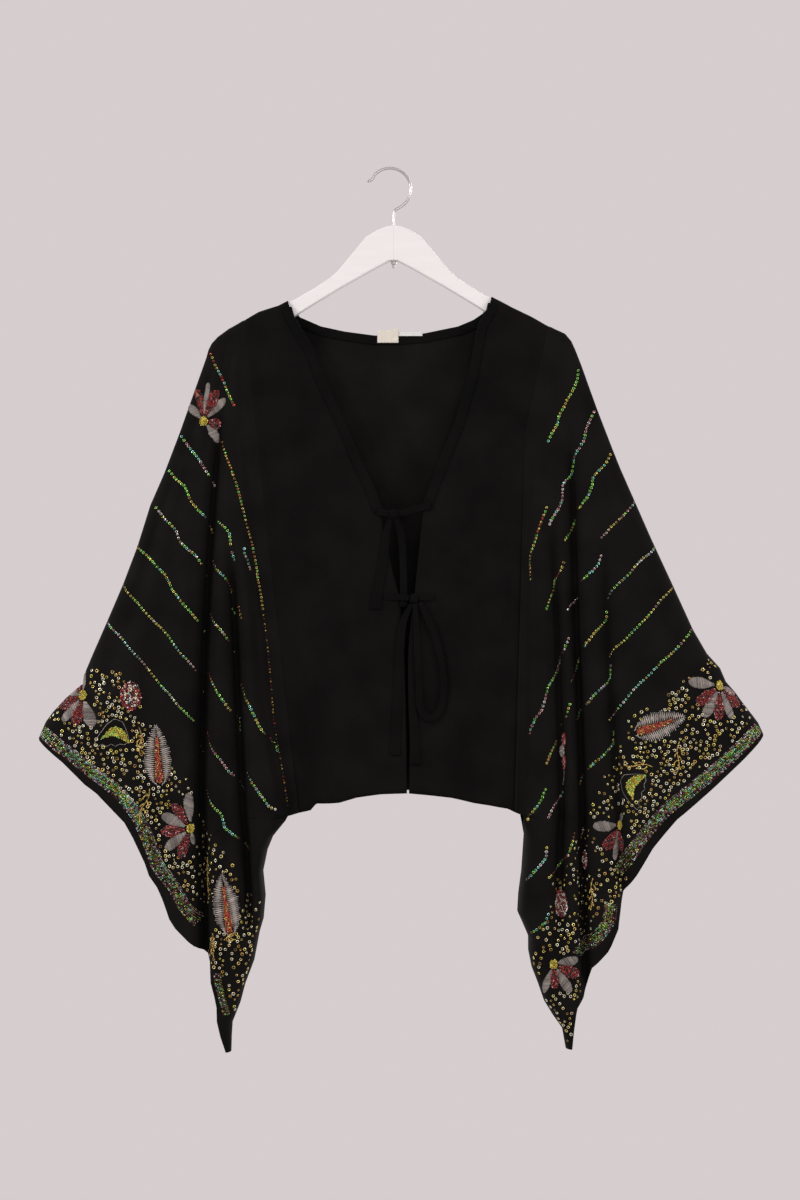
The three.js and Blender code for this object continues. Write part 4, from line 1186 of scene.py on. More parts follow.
def stitch_shape():
    """One laid thread: a four-sided spindle, flat on the cloth, with rounded ends."""
    points = [[-1, 0, -0.3]]
    for x, w in ((-0.82, 0.8), (0, 1), (0.82, 0.8)):
        points += [[x, -w, 0], [x, 0, 0.75 * w], [x, w, 0], [x, 0, -0.4]]
    points.append([1, 0, -0.3])
    faces = []
    for j in range(4):
        n = (j + 1) % 4
        faces.append([0, 1 + j, 1 + n])
        faces.append([13, 9 + n, 9 + j])
        for a in (1, 5):
            faces += [[a + j, a + 4 + n, a + n], [a + j, a + 4 + j, a + 4 + n]]
    return np.array(points, float), np.array(faces)


SHAPES = {"sequins": ring_shape(), "beads": bead_shape(), "stitches": stitch_shape()}
# Painted highlight and shade: how far each sequin's and bead's tint brightens on one side and darkens on
# the other.
PAINTED_SHADING_SWING = {"sequins": 0.6, "beads": 0.35, "stitches": 0.0}


def sewn(name, kind, rows):
    """One joined mesh: a copy of the small shape in each item's own frame. The tint swings
    from bright to dark across each item, in a direction of its own: a painted highlight on one
    side and painted shade on the other."""
    shape, shape_faces = SHAPES[kind]
    items = np.concatenate(rows)
    centre, normal, along, size, tint = np.split(items, [3, 6, 9, 11], axis=1)
    across = np.cross(normal, along)
    high = size[:, 1:]
    points = (
        centre[:, None] + along[:, None] * shape[None, :, :1] * size[:, None, :1]
        + across[:, None] * shape[None, :, 1:2] * high[:, None]
        + normal[:, None] * shape[None, :, 2:] * high[:, None]
    )
    faces = shape_faces[None] + (np.arange(len(items)) * len(shape))[:, None, None]
    # Painted highlight and shade across each item, towards a side drawn at random.
    way = rng.uniform(0, 2 * math.pi, (len(items), 1))
    swing = shape[None, :, 0] * np.cos(way) + shape[None, :, 1] * np.sin(way)
    tints = tint[:, None] * (1 + PAINTED_SHADING_SWING[kind] * swing[..., None])
    return new_mesh(name, points.reshape(-1, 3), faces.reshape(-1, shape_faces.shape[1]),
                    tint=np.clip(tints, 0, 1).reshape(-1, 3))


def pick(tints, count, low=0.4, high=1.4):
    """Tints drawn at random from a list, each lighter or darker by its own factor."""
    return np.array(tints)[rng.integers(0, len(tints), count)] * rng.uniform(low, high, (count, 1))


# Rows of sequins

ROW_PITCH = 4.5
ROW_RADIUS = 1.85
MARCHED_RADIUS = 1.62
ROW_LIFT = 0.3
ROW_TINTS = np.array([GREEN, GOLD, GREEN, TEAL, PINK, GOLD, GREEN, PEARL, TEAL, GOLD, GREEN])
# Sequins turned further than this from facing out are left off; over the fade above it they are darkened
# as painted shade.
WALL_FACING = 0.42
FOLD_SHADE_FADE = 0.35
MARCH = 330
START_IN = 2
ODD_SHARE = 0.34

# "row_starts" are drops on the top fold where a marched row begins, "row_slope" is its fall for
# each millimetre in, and "row_end" where the first deep fold stops it
LEFT.row_starts = [517, 562]
LEFT.row_slope = 1.1
RIGHT.row_starts = [415, 470, 520.5, 572]
RIGHT.row_slope = 0.98
LEFT.row_end = table("drop out", [[188, 231], [1100, 233]])
RIGHT.row_end = table("drop out", [[400, 254], [470, 256], [490, 262], [1100, 267]])


def row_tints(side, k, length, count):
    """Tints that drift along a row from one foil colour to the next, with odd sequins."""
    at = k * 2.7 + (0 if side is LEFT else 3) + length / 40 + 0.8 * np.sin(length / 17 + k)
    low = np.floor(at).astype(int) % len(ROW_TINTS)
    tint = mix(ROW_TINTS[low], ROW_TINTS[(low + 1) % len(ROW_TINTS)], smooth(at % 1)[:, None])
    odd = rng.random(count) < ODD_SHARE
    tint[odd] = ROW_TINTS[rng.integers(0, len(ROW_TINTS), odd.sum())]
    return tint * rng.uniform(0.5, 1.5, (count, 1))


def evened(corners, count):
    """Places along straight stretches between corners, as many on each stretch."""
    corners = np.array(corners, float)
    at = np.linspace(0, len(corners) - 1, count)
    return np.stack([np.interp(at, np.arange(len(corners)), column) for column in corners.T], axis=1)


def lay_row(trim, layer, path, k, size, tints=None):
    """Sequins along a path of (out, drop), a pitch apart by their true length on the cloth, with
    a slight sway. Where the cloth turns into a fold their tint is painted darker, towards plum,
    as painted shade, and they stop where it stands edge on."""
    length = run_length(layer.point(path[:, 0], path[:, 1]))
    at = np.arange(1.5, length[-1], ROW_PITCH)
    at = at + rng.uniform(-0.3, 0.3, len(at))
    out = np.interp(at, length, path[:, 0])
    sway = 1.3 * np.sin(at / 19 + 2 * k) + 0.8 * np.sin(at / 8 + k)
    drop = np.interp(at, length, path[:, 1]) + sway + rng.normal(0, 0.25, len(at))
    if tints:
        tint = pick(tints, len(at), 0.45, 1.45)
    else:
        tint = row_tints(layer.side, k, at, len(at))
    facing = np.abs(layer.normal(out, drop)[:, 1])
    # Painted shade: sequins where the cloth turns into a fold are darkened towards plum.
    tint = mix(np.array(PLUM) * 0.8, tint, smooth((facing - WALL_FACING) / FOLD_SHADE_FADE)[:, None])
    shown = facing > WALL_FACING
    if shown.any():
        trim.add("sequins", layer, out[shown], drop[shown], ROW_LIFT,
                 size * rng.uniform(0.92, 1.08, shown.sum()), tint[shown])


def marched_rows(layer):
    """Paths that start on the top fold and go in and down: each millimetre across adds its true
    length on the cloth, times the slope, to the drop, so rows break at the folds."""
    side = layer.side
    drop = np.array(side.row_starts, float)
    out = read(side.outer, "drop", "out", drop) - START_IN
    steps = [np.stack([out, drop], axis=1)]
    height = layer.height(out, drop)
    for _ in range(MARCH):
        out = out - 1
        here = layer.height(out, drop)
        drop = drop + side.row_slope * np.hypot(1, here - height)
        height = layer.height(out, drop)
        steps.append(np.stack([out, drop], axis=1))
    return np.stack(steps, axis=1)


CUFF_POINTS = 400
CUFF_EVENING = 9


def cuff_path(layer):
    """The layer's cuff edge from the corner to the tip, in (out, drop), each place the mean of
    those near it."""
    drop = np.linspace(layer.side.cuff_corner, layer.side.tip, CUFF_POINTS)
    padded = np.pad(layer.edges(drop)[0], CUFF_EVENING, mode="reflect", reflect_type="odd")
    kernel = np.ones(2 * CUFF_EVENING + 1) / (2 * CUFF_EVENING + 1)
    return np.stack([np.convolve(padded, kernel, mode="valid"), drop], axis=1)


def from_cuff(layer, out, drop):
    """(distance in from the cuff edge, share of the way along it) for places on the layer."""
    path = cuff_path(layer)[::4]
    away = np.hypot(out[..., None] - path[:, 0], drop[..., None] - path[:, 1])
    nearest = away.argmin(axis=-1)
    return away.min(axis=-1), nearest / (len(path) - 1)


# Each row of the cuff band has its distance in from the edge, radius and tints. "band_end" is
# the drop where the band stops, "band_gap" the share of the cuff edge where a fold hides it,
# "band_tip" how far in the rows below that gap reach, "band_room" how far the whole band moves in.
BAND_ROWS = [
    (5.4, 1.15, (PINK, PLUM, PEARL, PLUM)), (7.8, 1.2, (PEARL, PINK, TEAL, PLUM)),
    (10.3, 1.25, (GREEN, TEAL, GREEN, PINK)), (12.4, 0.85, (YELLOW, YELLOW, GOLD)),
    (14.5, 1.25, (GREEN, GOLD, TEAL, PLUM)), (17, 1.2, (TEAL, PEARL, GREEN, PINK)),
    (19.3, 1.15, (PEARL, PINK, PLUM)),
]
BAND_LIFT = 0.25
BAND_BRIGHT_SHARE = 0.17
PLAIN_SHARE = 0.6
PLAIN_FROM = 0.3
LEFT.band_end, RIGHT.band_end = 1051, 989
LEFT.band_gap, RIGHT.band_gap = (0.62, 0.735), (0.462, 0.53)
LEFT.band_tip, RIGHT.band_tip = 13, 25
LEFT.band_room = table("share room", [
    [0, 0], [0.053, 1], [0.13, 5], [0.21, 8.5], [0.28, 5], [0.4, 1], [0.46, 4], [0.528, 9.5],
    [0.58, 13], [0.62, 13], [0.73, 0], [0.82, 0], [0.874, 3], [1, 3],
])
RIGHT.band_room = table("share room", [
    [0, 0.5], [0.114, 2], [0.237, 5], [0.36, 7.5], [0.46, 8], [0.52, 1], [0.583, 0], [0.667, 9],
    [0.727, 14], [1, 14],
])


def cuff_band(trim, layer):
    """Close rows of small sequins that follow the cuff edge, in mixed speckled tints, plainer
    and darker farther down. They pass out of sight in a fold over the gap, and fewer go on to
    the tip."""
    path = cuff_path(layer)
    share = np.linspace(0, 1, len(path))
    shown = path[:, 1] < layer.side.band_end
    path, share = path[shown], share[shown]
    gap_start, gap_end = layer.side.band_gap
    along = unit(np.gradient(path, axis=0))
    inward = np.stack([-along[:, 1], along[:, 0]], axis=1)
    inward *= -np.sign(inward[:, 1:])
    room = read(layer.side.band_room, "share", "room", share)[:, None]
    for k, (inset, radius, tints) in enumerate(BAND_ROWS):
        line = path + inward * (inset + room)
        length = run_length(layer.point(line[:, 0], line[:, 1]))
        at = np.arange(rng.uniform(0, 2), length[-1], max(radius * 2.1, 2.2))
        here = np.interp(at, length, share)
        shown = (here < gap_start) | (here > gap_end) & (inset < layer.side.band_tip)
        at, here = at[shown], here[shown]
        out, drop = np.interp(at, length, line[:, 0]), np.interp(at, length, line[:, 1])
        tint = pick(tints, len(at), 0.35, 1.4) * (0.85 + 0.25 * np.sin(at / 29 + k))[:, None]
        plain = (rng.random(len(at)) < PLAIN_SHARE) & (here > PLAIN_FROM) & (tints[0] is not YELLOW)
        tint[plain] = pick([PINK, PLUM, PEARL, PLUM, PINK, GOLD], plain.sum(), 0.3, 0.95)
        tint *= mix(1.0, 0.72, smooth((here - 0.15) / 0.25))[:, None]
        bright = rng.random(len(at)) < BAND_BRIGHT_SHARE
        tint[bright] = pick([GREEN, GOLD, PEARL, GREEN, TEAL], bright.sum(), 1.0, 1.6)
        trim.add("sequins", layer, out, drop + rng.normal(0, 0.3, len(at)), BAND_LIFT,
                 radius * rng.uniform(0.85, 1.1, len(at)), tint)


# Motifs, in a centre's own directions: a outwards along the cloth, b down


def turned(turn, x, y):
    """(a, b) of places x along a direction and y across it; turn in degrees from outwards."""
    t = np.radians(turn)
    return x * np.cos(t) - y * np.sin(t), x * np.sin(t) + y * np.cos(t)


def bead_fill(trim, layer, centre, a, b, radius, tints, lift=0.5):
    """Beads at places (a, b) about a centre, in tints drawn at random."""
    out, drop = layer.local(*centre, a, b)
    trim.add("beads", layer, out, drop, lift, radius * rng.uniform(0.85, 1.15, len(a)),
             pick(tints, len(a), 0.45, 1.4))


def staggered(half_x, half_y, pitch):
    """Places on a staggered grid over a rectangle, each a little off its place."""
    row_pitch = pitch * 0.87
    x, y = np.meshgrid(
        np.arange(-half_x, half_x + 0.1, pitch), np.arange(-half_y, half_y + 0.1, row_pitch),
    )
    x = x + (np.round((y + half_y) / row_pitch) % 2) * pitch / 2
    x, y = x.ravel(), y.ravel()
    return x + rng.normal(0, 0.14, len(x)), y + rng.normal(0, 0.14, len(y))


def packed(half_x, half_y, pitch):
    """Places on a staggered grid inside an ellipse."""
    x, y = staggered(half_x, half_y, pitch)
    keep = (x / half_x) ** 2 + (y / half_y) ** 2 < 1
    return x[keep], y[keep]


def stitches(trim, layer, centre, a0, b0, a1, b1, width, tint, lift=0.35):
    """Laid threads from (a0, b0) to (a1, b1), mottled from light to dark."""
    out0, drop0 = layer.local(*centre, a0, b0)
    out1, drop1 = layer.local(*centre, a1, b1)
    half = np.hypot(a1 - a0, b1 - b0) / 2
    size = np.stack([half, np.full(len(half), width)], axis=1)
    knots = np.arange(0, len(half) + 5, 5)
    patch = np.interp(np.arange(len(half)), knots, rng.uniform(0.6, 1.25, len(knots)))
    shade = (rng.uniform(0.6, 1.35, len(half)) * patch)[:, None]
    trim.add("stitches", layer, (out0 + out1) / 2, (drop0 + drop1) / 2, lift, size,
             np.array(tint) * shade, toward=(out1, drop1))


def petal_half(t, width):
    """Half width along a petal: it widens from its root, then closes in a blunt round tip."""
    wide = 0.22 + 0.78 * smooth((t - 0.12) / 0.5)
    close = np.sqrt(np.clip(1 - np.clip((t - 0.68) / 0.32, 0, 1) ** 2.4, 0, 1))
    return width / 2 * wide * close


def petal(trim, layer, centre, turn, length, width, is_satin):
    """A petal: satin threads laid slanting across it, or packed red beads."""
    if is_satin:
        t = np.linspace(0.2, 0.985, int(length * 0.8 / 0.82))
        half = petal_half(t, width) * rng.uniform(0.9, 1.06, len(t))
        bow = 0.06 * width * np.sin(math.pi * t)
        a0, b0 = turned(turn, t * length - 0.35 * half, bow - half)
        a1, b1 = turned(turn, t * length + 0.35 * half, bow + half)
        stitches(trim, layer, centre, a0, b0, a1, b1, 0.6, np.array(SILVER) * 0.78, 0.4)
        return
    x, y = staggered(length * 0.4, width / 2, 1.85)
    keep = np.abs(y) < petal_half(0.6 + x / length, width * 1.08)
    bead_fill(trim, layer, centre, *turned(turn, x[keep] + length * 0.6, y[keep]), 0.93,
              [RED, RED, DARK, RED, CORAL, RED, DARK, RED, RED, PINK, DARK, RED])


def flower(trim, layer, out, drop, petals):
    """A half-open flower: petals as (turn, length, width, satin or beads) round a gold centre."""
    for turn, length, width, is_satin in petals:
        petal(trim, layer, (out, drop), turn, length, width, is_satin)
    x, y = packed(5.2, 6.2, 1.6)
    bead_fill(trim, layer, (out, drop), x, y, 0.88, [YELLOW, YELLOW, GOLD], 1.0)


def leaf(trim, layer, out, drop, length, width, turn):
    """A leaf that points along its turn: zigzag silver threads from a red beaded spine, wide at
    the root, to a notched edge, and pearl dots on the notches."""
    t = np.linspace(0.02, 0.985, int(length / 1.2))
    half = width / 2 * np.sin(math.pi * t ** 0.75) ** 0.75
    half *= 0.93 + 0.12 * np.abs(np.sin(t * 19)) + rng.uniform(-0.05, 0.05, len(t))
    x = (t - 0.5) * length
    spine = np.minimum(width * mix(0.16, 0.06, smooth(t / 0.8)) * (t < 0.8), half * 0.7)
    for way in (-1, 1):
        sway = np.where(np.arange(len(t)) % 2, 1.0, -0.6)
        a0, b0 = turned(turn, x + sway, way * spine)
        a1, b1 = turned(turn, x + 2.4 - sway, way * half)
        stitches(trim, layer, (out, drop), a0, b0, a1, b1, 0.48, np.array(SILVER) * 1.35, 0.35)
        a2, b2 = turned(turn, x[::4] + 2.6, way * half[::4])
        bead_fill(trim, layer, (out, drop), a2, b2, 0.6, [PEARL, SILVER], 0.4)
    x, y = staggered(length * 0.37, width * 0.18, 1.7)
    root = np.clip((x / length + 0.4) / 0.12, 0, 1)
    keep = np.abs(y) < width * mix(0.16, 0.07, smooth((x / length + 0.4) / 0.75)) * (0.35 + 0.65 * root)
    bead_fill(trim, layer, (out, drop), *turned(turn, x[keep] - length * 0.07, y[keep]), 0.85,
              [CORAL, CORAL, CORAL, RED, CORAL, ORANGE, GOLD], 0.6)


CRESCENT_EDGE = [
    [27, 14], [21, 2], [11, -12], [1, -19], [-9, -15], [-14, -3], [-17, 9], [-11, 13], [-5, 12],
    [0, 15], [5, 12], [11, 15], [16, 12], [22, 15], [27, 14],
]
CRESCENT_ARC = table("x top bottom", [
    [-17, 9, 11], [-12, -3, 9], [-6, -8, 5.5], [0, -9.5, 3.2], [6, -8, 2.8], [12, -2, 4], [17, 4.5, 6],
])


def crescent(trim, layer, out, drop, turn, flip):
    """A gold beaded crescent under the arch of a thin notched silver outline."""
    x, y = staggered(17, 12, 1.6)
    keep = (y > read(CRESCENT_ARC, "x", "top", x)) & (y < read(CRESCENT_ARC, "x", "bottom", x))
    bead_fill(trim, layer, (out, drop), *turned(turn, x[keep], flip * y[keep]), 0.84,
              [YELLOW, GOLD, YELLOW, YELLOW, GREEN], 0.5)
    x, y = evened(CRESCENT_EDGE, 58).T
    a, b = turned(turn, x, flip * y)
    stitches(trim, layer, (out, drop), a[:-1], b[:-1], a[1:], b[1:], 0.34, SILVER, 0.3)


def rosette(trim, layer, out, drop, half_a, half_b):
    """A beaded round: bright pearl and dark red beads, mixed, redder at its edge."""
    a, b = packed(half_a, half_b, 1.95)
    far = np.hypot(a / half_a, b / half_b)
    edge = far + rng.normal(0, 0.12, len(far)) > 0.6
    bead_fill(trim, layer, (out, drop), a[edge], b[edge], 0.98, [RED, CORAL, RED, DARK, PEARL], 0.6)
    bead_fill(trim, layer, (out, drop), a[~edge], b[~edge], 1.0, [PEARL, RED, WHITE_GOLD, RED, DARK], 0.9)


def sprig(trim, layer, out, drop, length, turn):
    """A stem of gold seed beads with three pairs of short curled shoots."""
    x = np.arange(0, length, 1.5)
    bead_fill(trim, layer, (out, drop), *turned(turn, x, 2 * np.sin(x / 6)), 0.85,
              [BRONZE, BRONZE, BRONZE, GOLD], 0.4)
    for k, start in enumerate((0.25, 0.5, 0.78)):
        for way in (-1, 1):
            s = np.arange(0, 8 - k, 1.4)
            a, b = turned(turn, length * (start + 0.07 * way) + s * 0.8, way * (1 + s * (1 - s / 12)))
            bead_fill(trim, layer, (out, drop), a, b, 0.85, [BRONZE, BRONZE, GOLD], 0.4)


def bud(trim, layer, out, drop):
    """A silver bud between red beads, on a thin upright stem."""
    x, y = packed(6.5, 7.5, 1.6)
    bead_fill(trim, layer, (out, drop), x, y, 0.9, [SILVER, PEARL, SILVER], 1.0)
    for way in (-1, 1):
        x, y = packed(5.5, 9, 1.85)
        bead_fill(trim, layer, (out, drop), x + 5, y + way * 14, 0.93, [RED, RED, PINK], 0.6)
    b = np.arange(24, 42, 2.0)
    a = 5 - 0.012 * (b - 22) ** 2
    stitches(trim, layer, (out, drop), a, b, a - 0.3, b + 2.4, 0.6, SILVER, 0.3)


SATIN, BEADED = True, False
LEFT.motifs = [
    (flower, 236, 315, [(-97, 49, 9, SATIN), (-78, 41, 9, BEADED), (-47, 29, 11, SATIN),
                        (-114, 43, 12, BEADED), (-135, 40, 11, SATIN), (170, 23, 12, BEADED),
                        (129, 33, 12, SATIN)]),
    (flower, 383, 655, [(-87, 32, 12, SATIN), (-40, 26, 10, BEADED), (-10, 30, 12, SATIN),
                        (24, 36, 13, BEADED), (49, 41, 13, SATIN), (76, 38, 13, BEADED),
                        (107, 40, 17, SATIN)]),
    (flower, 250, 818, [(-89, 44, 14, SATIN), (-55, 38, 12, BEADED), (-25, 40, 16, SATIN),
                        (8, 39, 13, BEADED), (38, 42, 14, SATIN), (70, 39, 12, BEADED),
                        (101, 21, 8, SATIN)]),
    (leaf, 291, 730, 74, 35, -86),
    (leaf, 206, 913, 76, 34, -80),
    (crescent, 342, 702, 0, 1),
    (rosette, 324, 655, 13, 18),
    (sprig, 314, 694, 34, 95), (sprig, 301, 770, 44, 72), (sprig, 230, 856, 44, 95),
    (sprig, 222, 948, 28, 85), (sprig, 208, 955, 14, 200),
]
RIGHT.motifs = [
    (flower, 402, 643, [(187, 40, 15, SATIN), (143, 36, 14, BEADED), (116, 43, 15, SATIN),
                        (93, 42, 12, BEADED), (68, 43, 12, SATIN), (44, 38, 13, BEADED),
                        (22, 27, 11, SATIN)]),
    (flower, 278, 815, [(178, 37, 14, SATIN), (131, 37, 14, BEADED), (101, 43, 15, SATIN),
                        (80, 33, 9, BEADED), (-80, 15, 7, SATIN)]),
    (flower, 197, 985, [(-12, 32, 13, SATIN), (25, 36, 13, BEADED), (58, 42, 13, SATIN),
                        (87, 31, 11, BEADED), (108, 40, 10, SATIN)]),
    (bud, 207, 724),
    (leaf, 327, 691, 66, 34, -18),
    (crescent, 295, 765, 109, -1),
    (rosette, 208, 912, 15, 17), (rosette, 238, 859, 6, 12),
    (sprig, 352, 712, 40, 95), (sprig, 318, 742, 36, 185), (sprig, 246, 880, 40, 95),
]

# Loose sequins leave this room round a motif's centre. "zone" is how far in from the cuff edge
# they reach and "bare" how far in they begin, both by the share of the way along that edge.
MOTIF_ROOM = {flower: 15, leaf: 20, crescent: 20, rosette: 15, sprig: 4, bud: 16}
LEFT.zone = table("share reach", [
    [0, 118], [0.05, 140], [0.12, 120], [0.2, 104], [0.3, 92], [0.45, 98], [0.6, 100], [1, 90],
])
RIGHT.zone = table("share reach", [
    [0, 124], [0.1, 124], [0.2, 138], [0.28, 112], [0.35, 100], [0.45, 88], [0.6, 92], [1, 80],
])
LEFT.bare = table("share edge", [
    [0, 25], [0.41, 25], [0.46, 27], [0.53, 33], [0.615, 45], [0.66, 45], [0.68, 4], [0.735, 4],
    [0.74, 14], [0.8, 18], [1, 22],
])
RIGHT.bare = table("share edge", [
    [0, 25], [0.12, 26], [0.37, 31], [0.455, 31], [0.465, 5], [0.53, 5], [0.54, 24], [0.6, 24],
    [0.67, 32], [0.727, 37], [0.76, 30], [0.8, 5], [1, 3],
])
LEFT.loose_end, RIGHT.loose_end = 1046, 1086
LOOSE_TRIES = 16000
LOOSE_DROP, LOOSE_OUT = 605, (150, 460)
LOOSE_GAP = 4.6
LOOSE_KEPT = 0.9
ZONE_FADE = 22
BRIGHT_SHARE = 0.42
LARGE, SMALL = 2.3, 1.6


def crowded(side, out, drop):
    """True where a motif already takes the cloth: round its centre, each petal of a flower and
    both halves of a leaf."""
    full = np.zeros(len(out), bool)
    for shape, at_out, at_drop, *sizes in side.motifs:
        away_a, away_b = out - at_out, drop - at_drop
        full |= np.hypot(away_a, away_b) < MOTIF_ROOM[shape]
        if shape is flower:
            for turn, length, width, _ in sizes[0]:
                a, b = turned(turn, length * 0.65, 0)
                full |= np.hypot(away_a - a, away_b - b) < max(width * 0.62, length * 0.33)
        if shape is leaf:
            for share in (-0.3, 0.3):
                a, b = turned(sizes[2], sizes[0] * share, 0)
                full |= np.hypot(away_a - a, away_b - b) < sizes[1] * 0.42
    return full


def spaced(out, drop, gap):
    """The places kept when each has to stand at least a gap from those already kept."""
    cell = {}
    chosen = []
    for k, (column, row) in enumerate(zip((out // gap).astype(int), (drop // gap).astype(int))):
        around = [(column + i, row + j) for i in (-1, 0, 1) for j in (-1, 0, 1)]
        near = [m for spot in around for m in cell.get(spot, ())]
        if all(math.hypot(out[k] - out[m], drop[k] - drop[m]) > gap for m in near):
            cell.setdefault((column, row), []).append(k)
            chosen.append(k)
    return np.array(chosen)


def scatter(trim, layer):
    """Loose gold and pearl sequins over the cuff zone, set apart from each other and from the
    motifs, thinner away from the cuff."""
    side = layer.side
    drop = rng.uniform(LOOSE_DROP, side.loose_end, LOOSE_TRIES)
    out = rng.uniform(*LOOSE_OUT, LOOSE_TRIES)
    away, share = from_cuff(layer, out, drop)
    reach = read(side.zone, "share", "reach", share)
    chance = smooth((reach - away) / ZONE_FADE)
    edge = read(side.bare, "share", "edge", share)
    keep = layer.inside(out, drop, 3) & (away > edge) & (rng.random(LOOSE_TRIES) < chance)
    keep &= ~crowded(side, out, drop)
    out, drop = out[keep], drop[keep]
    chosen = spaced(out, drop, LOOSE_GAP)
    chosen = chosen[rng.random(len(chosen)) < LOOSE_KEPT]
    out, drop = out[chosen], drop[chosen]
    count = len(out)
    tint = pick([GOLD, BRONZE, BRIGHT_GOLD, BRONZE, GOLD, BRIGHT_GOLD, WHITE_GOLD], count, 0.5, 1.3)
    bright = rng.random(count) < BRIGHT_SHARE
    tint[bright] = pick([WHITE_GOLD, BRIGHT_GOLD, WHITE_GOLD], bright.sum(), 0.95, 1.15)
    is_large = bright | (rng.random(count) < 0.5)
    radius = np.where(is_large, LARGE, SMALL) * rng.uniform(0.85, 1.1, count)
    trim.add("sequins", layer, out, drop, ROW_LIFT, radius, tint)


GREEN_GOLD = (GREEN, GOLD, GREEN, GOLD, GREEN, TEAL)
MOSTLY_GOLD = (GOLD, BRONZE, GOLD, GREEN)
PINK_TEAL = (PINK, TEAL, PEARL, PINK, GREEN)
PEARL_GREEN = (TEAL, PEARL, GREEN, PEARL, GOLD)

# Rows laid one by one where the cloth breaks at its folds: each has the corners of its path as
# (out, drop), its tints, and its radius where that differs.
LEFT.own_rows = [
    ([[212, 339], [206, 360], [194.6, 394], [183, 443], [177.6, 462], [174.3, 474], [169.9, 496],
      [168.7, 512], [164.4, 533], [162.2, 550]], (GOLD, ORANGE, BRONZE, GREEN), 1.6),
    ([[161.8, 554], [158.8, 575], [155.9, 600], [152.4, 640], [148.9, 687], [140.3, 736],
      [131, 796]], (BRONZE, RED, DARK, BRONZE), 1.1),
    ([[228, 229], [213, 262], [198, 296]], (GREEN, CORAL, TEAL, GOLD), 1.7),
    ([[244.9, 280.5], [237.7, 290.7]], GREEN_GOLD),
    ([[264.2, 332.8], [244.9, 356.9], [228.8, 382.3], [218.1, 398.4]], PINK_TEAL),
    ([[279.7, 375.6], [258.3, 395.7], [251.6, 413.1], [232.8, 435.9], [220.8, 454.7]], GREEN_GOLD),
    ([[295.8, 421.2], [269, 450.6], [265, 462.7], [243.5, 485.5], [228.8, 508.2]], PEARL_GREEN),
    ([[319.1, 468.1], [313.2, 473.4], [282.4, 505.6], [273, 527], [254.3, 547.1],
      [230.2, 576.5]], GREEN_GOLD),
    ([[216.2, 438.7], [207.9, 446.4], [202.9, 453], [201.3, 467.4]], GREEN_GOLD),
    ([[199.6, 476.2], [195.8, 486.1]], PINK_TEAL),
    ([[185.3, 471.8], [185.3, 477.3], [180.9, 487.2], [179.2, 493.8], [177.6, 502.7]], PEARL_GREEN),
    ([[221.7, 487.2], [218.4, 496], [210.7, 506], [204, 514.8], [200.7, 521.4],
      [198.5, 529.1]], GREEN_GOLD),
    ([[198.5, 546.8], [194.1, 554.5]], GREEN_GOLD),
    ([[190.3, 543.5], [188, 552.3], [186.4, 560]], PEARL_GREEN),
    ([[224.4, 553.4], [221.1, 562.2], [212.9, 572.7], [207.3, 582], [201.8, 589.8],
      [197.4, 595.3], [195.2, 601.9]], PEARL_GREEN),
    ([[226.9, 626.5], [219.1, 644.7], [213.9, 655.1], [200.9, 673.3], [188.8, 687.2],
      [187.1, 703.6]], GREEN_GOLD),
    ([[227.8, 699.3], [225.2, 713.2], [220.9, 721.8], [204.4, 745.2], [191.4, 760],
      [181, 773.8]], PINK_TEAL),
    ([[186.2, 639.5], [181.9, 655.1], [169.7, 683.7], [159.4, 702.8], [146.4, 720.1],
      [142.9, 727]], GREEN_GOLD),
    ([[228.7, 771.2], [224.3, 785.1], [212.2, 799.8], [207.9, 815.4], [197.5, 825.8],
      [187.1, 837.9], [174.9, 850.1]], GREEN_GOLD),
    ([[179.3, 749.6], [174.9, 758.2], [162.8, 777.3], [152.4, 791.2], [145.5, 793.2]], PEARL_GREEN),
    ([[155.9, 830.1], [145.5, 828.4]], PEARL_GREEN),
]
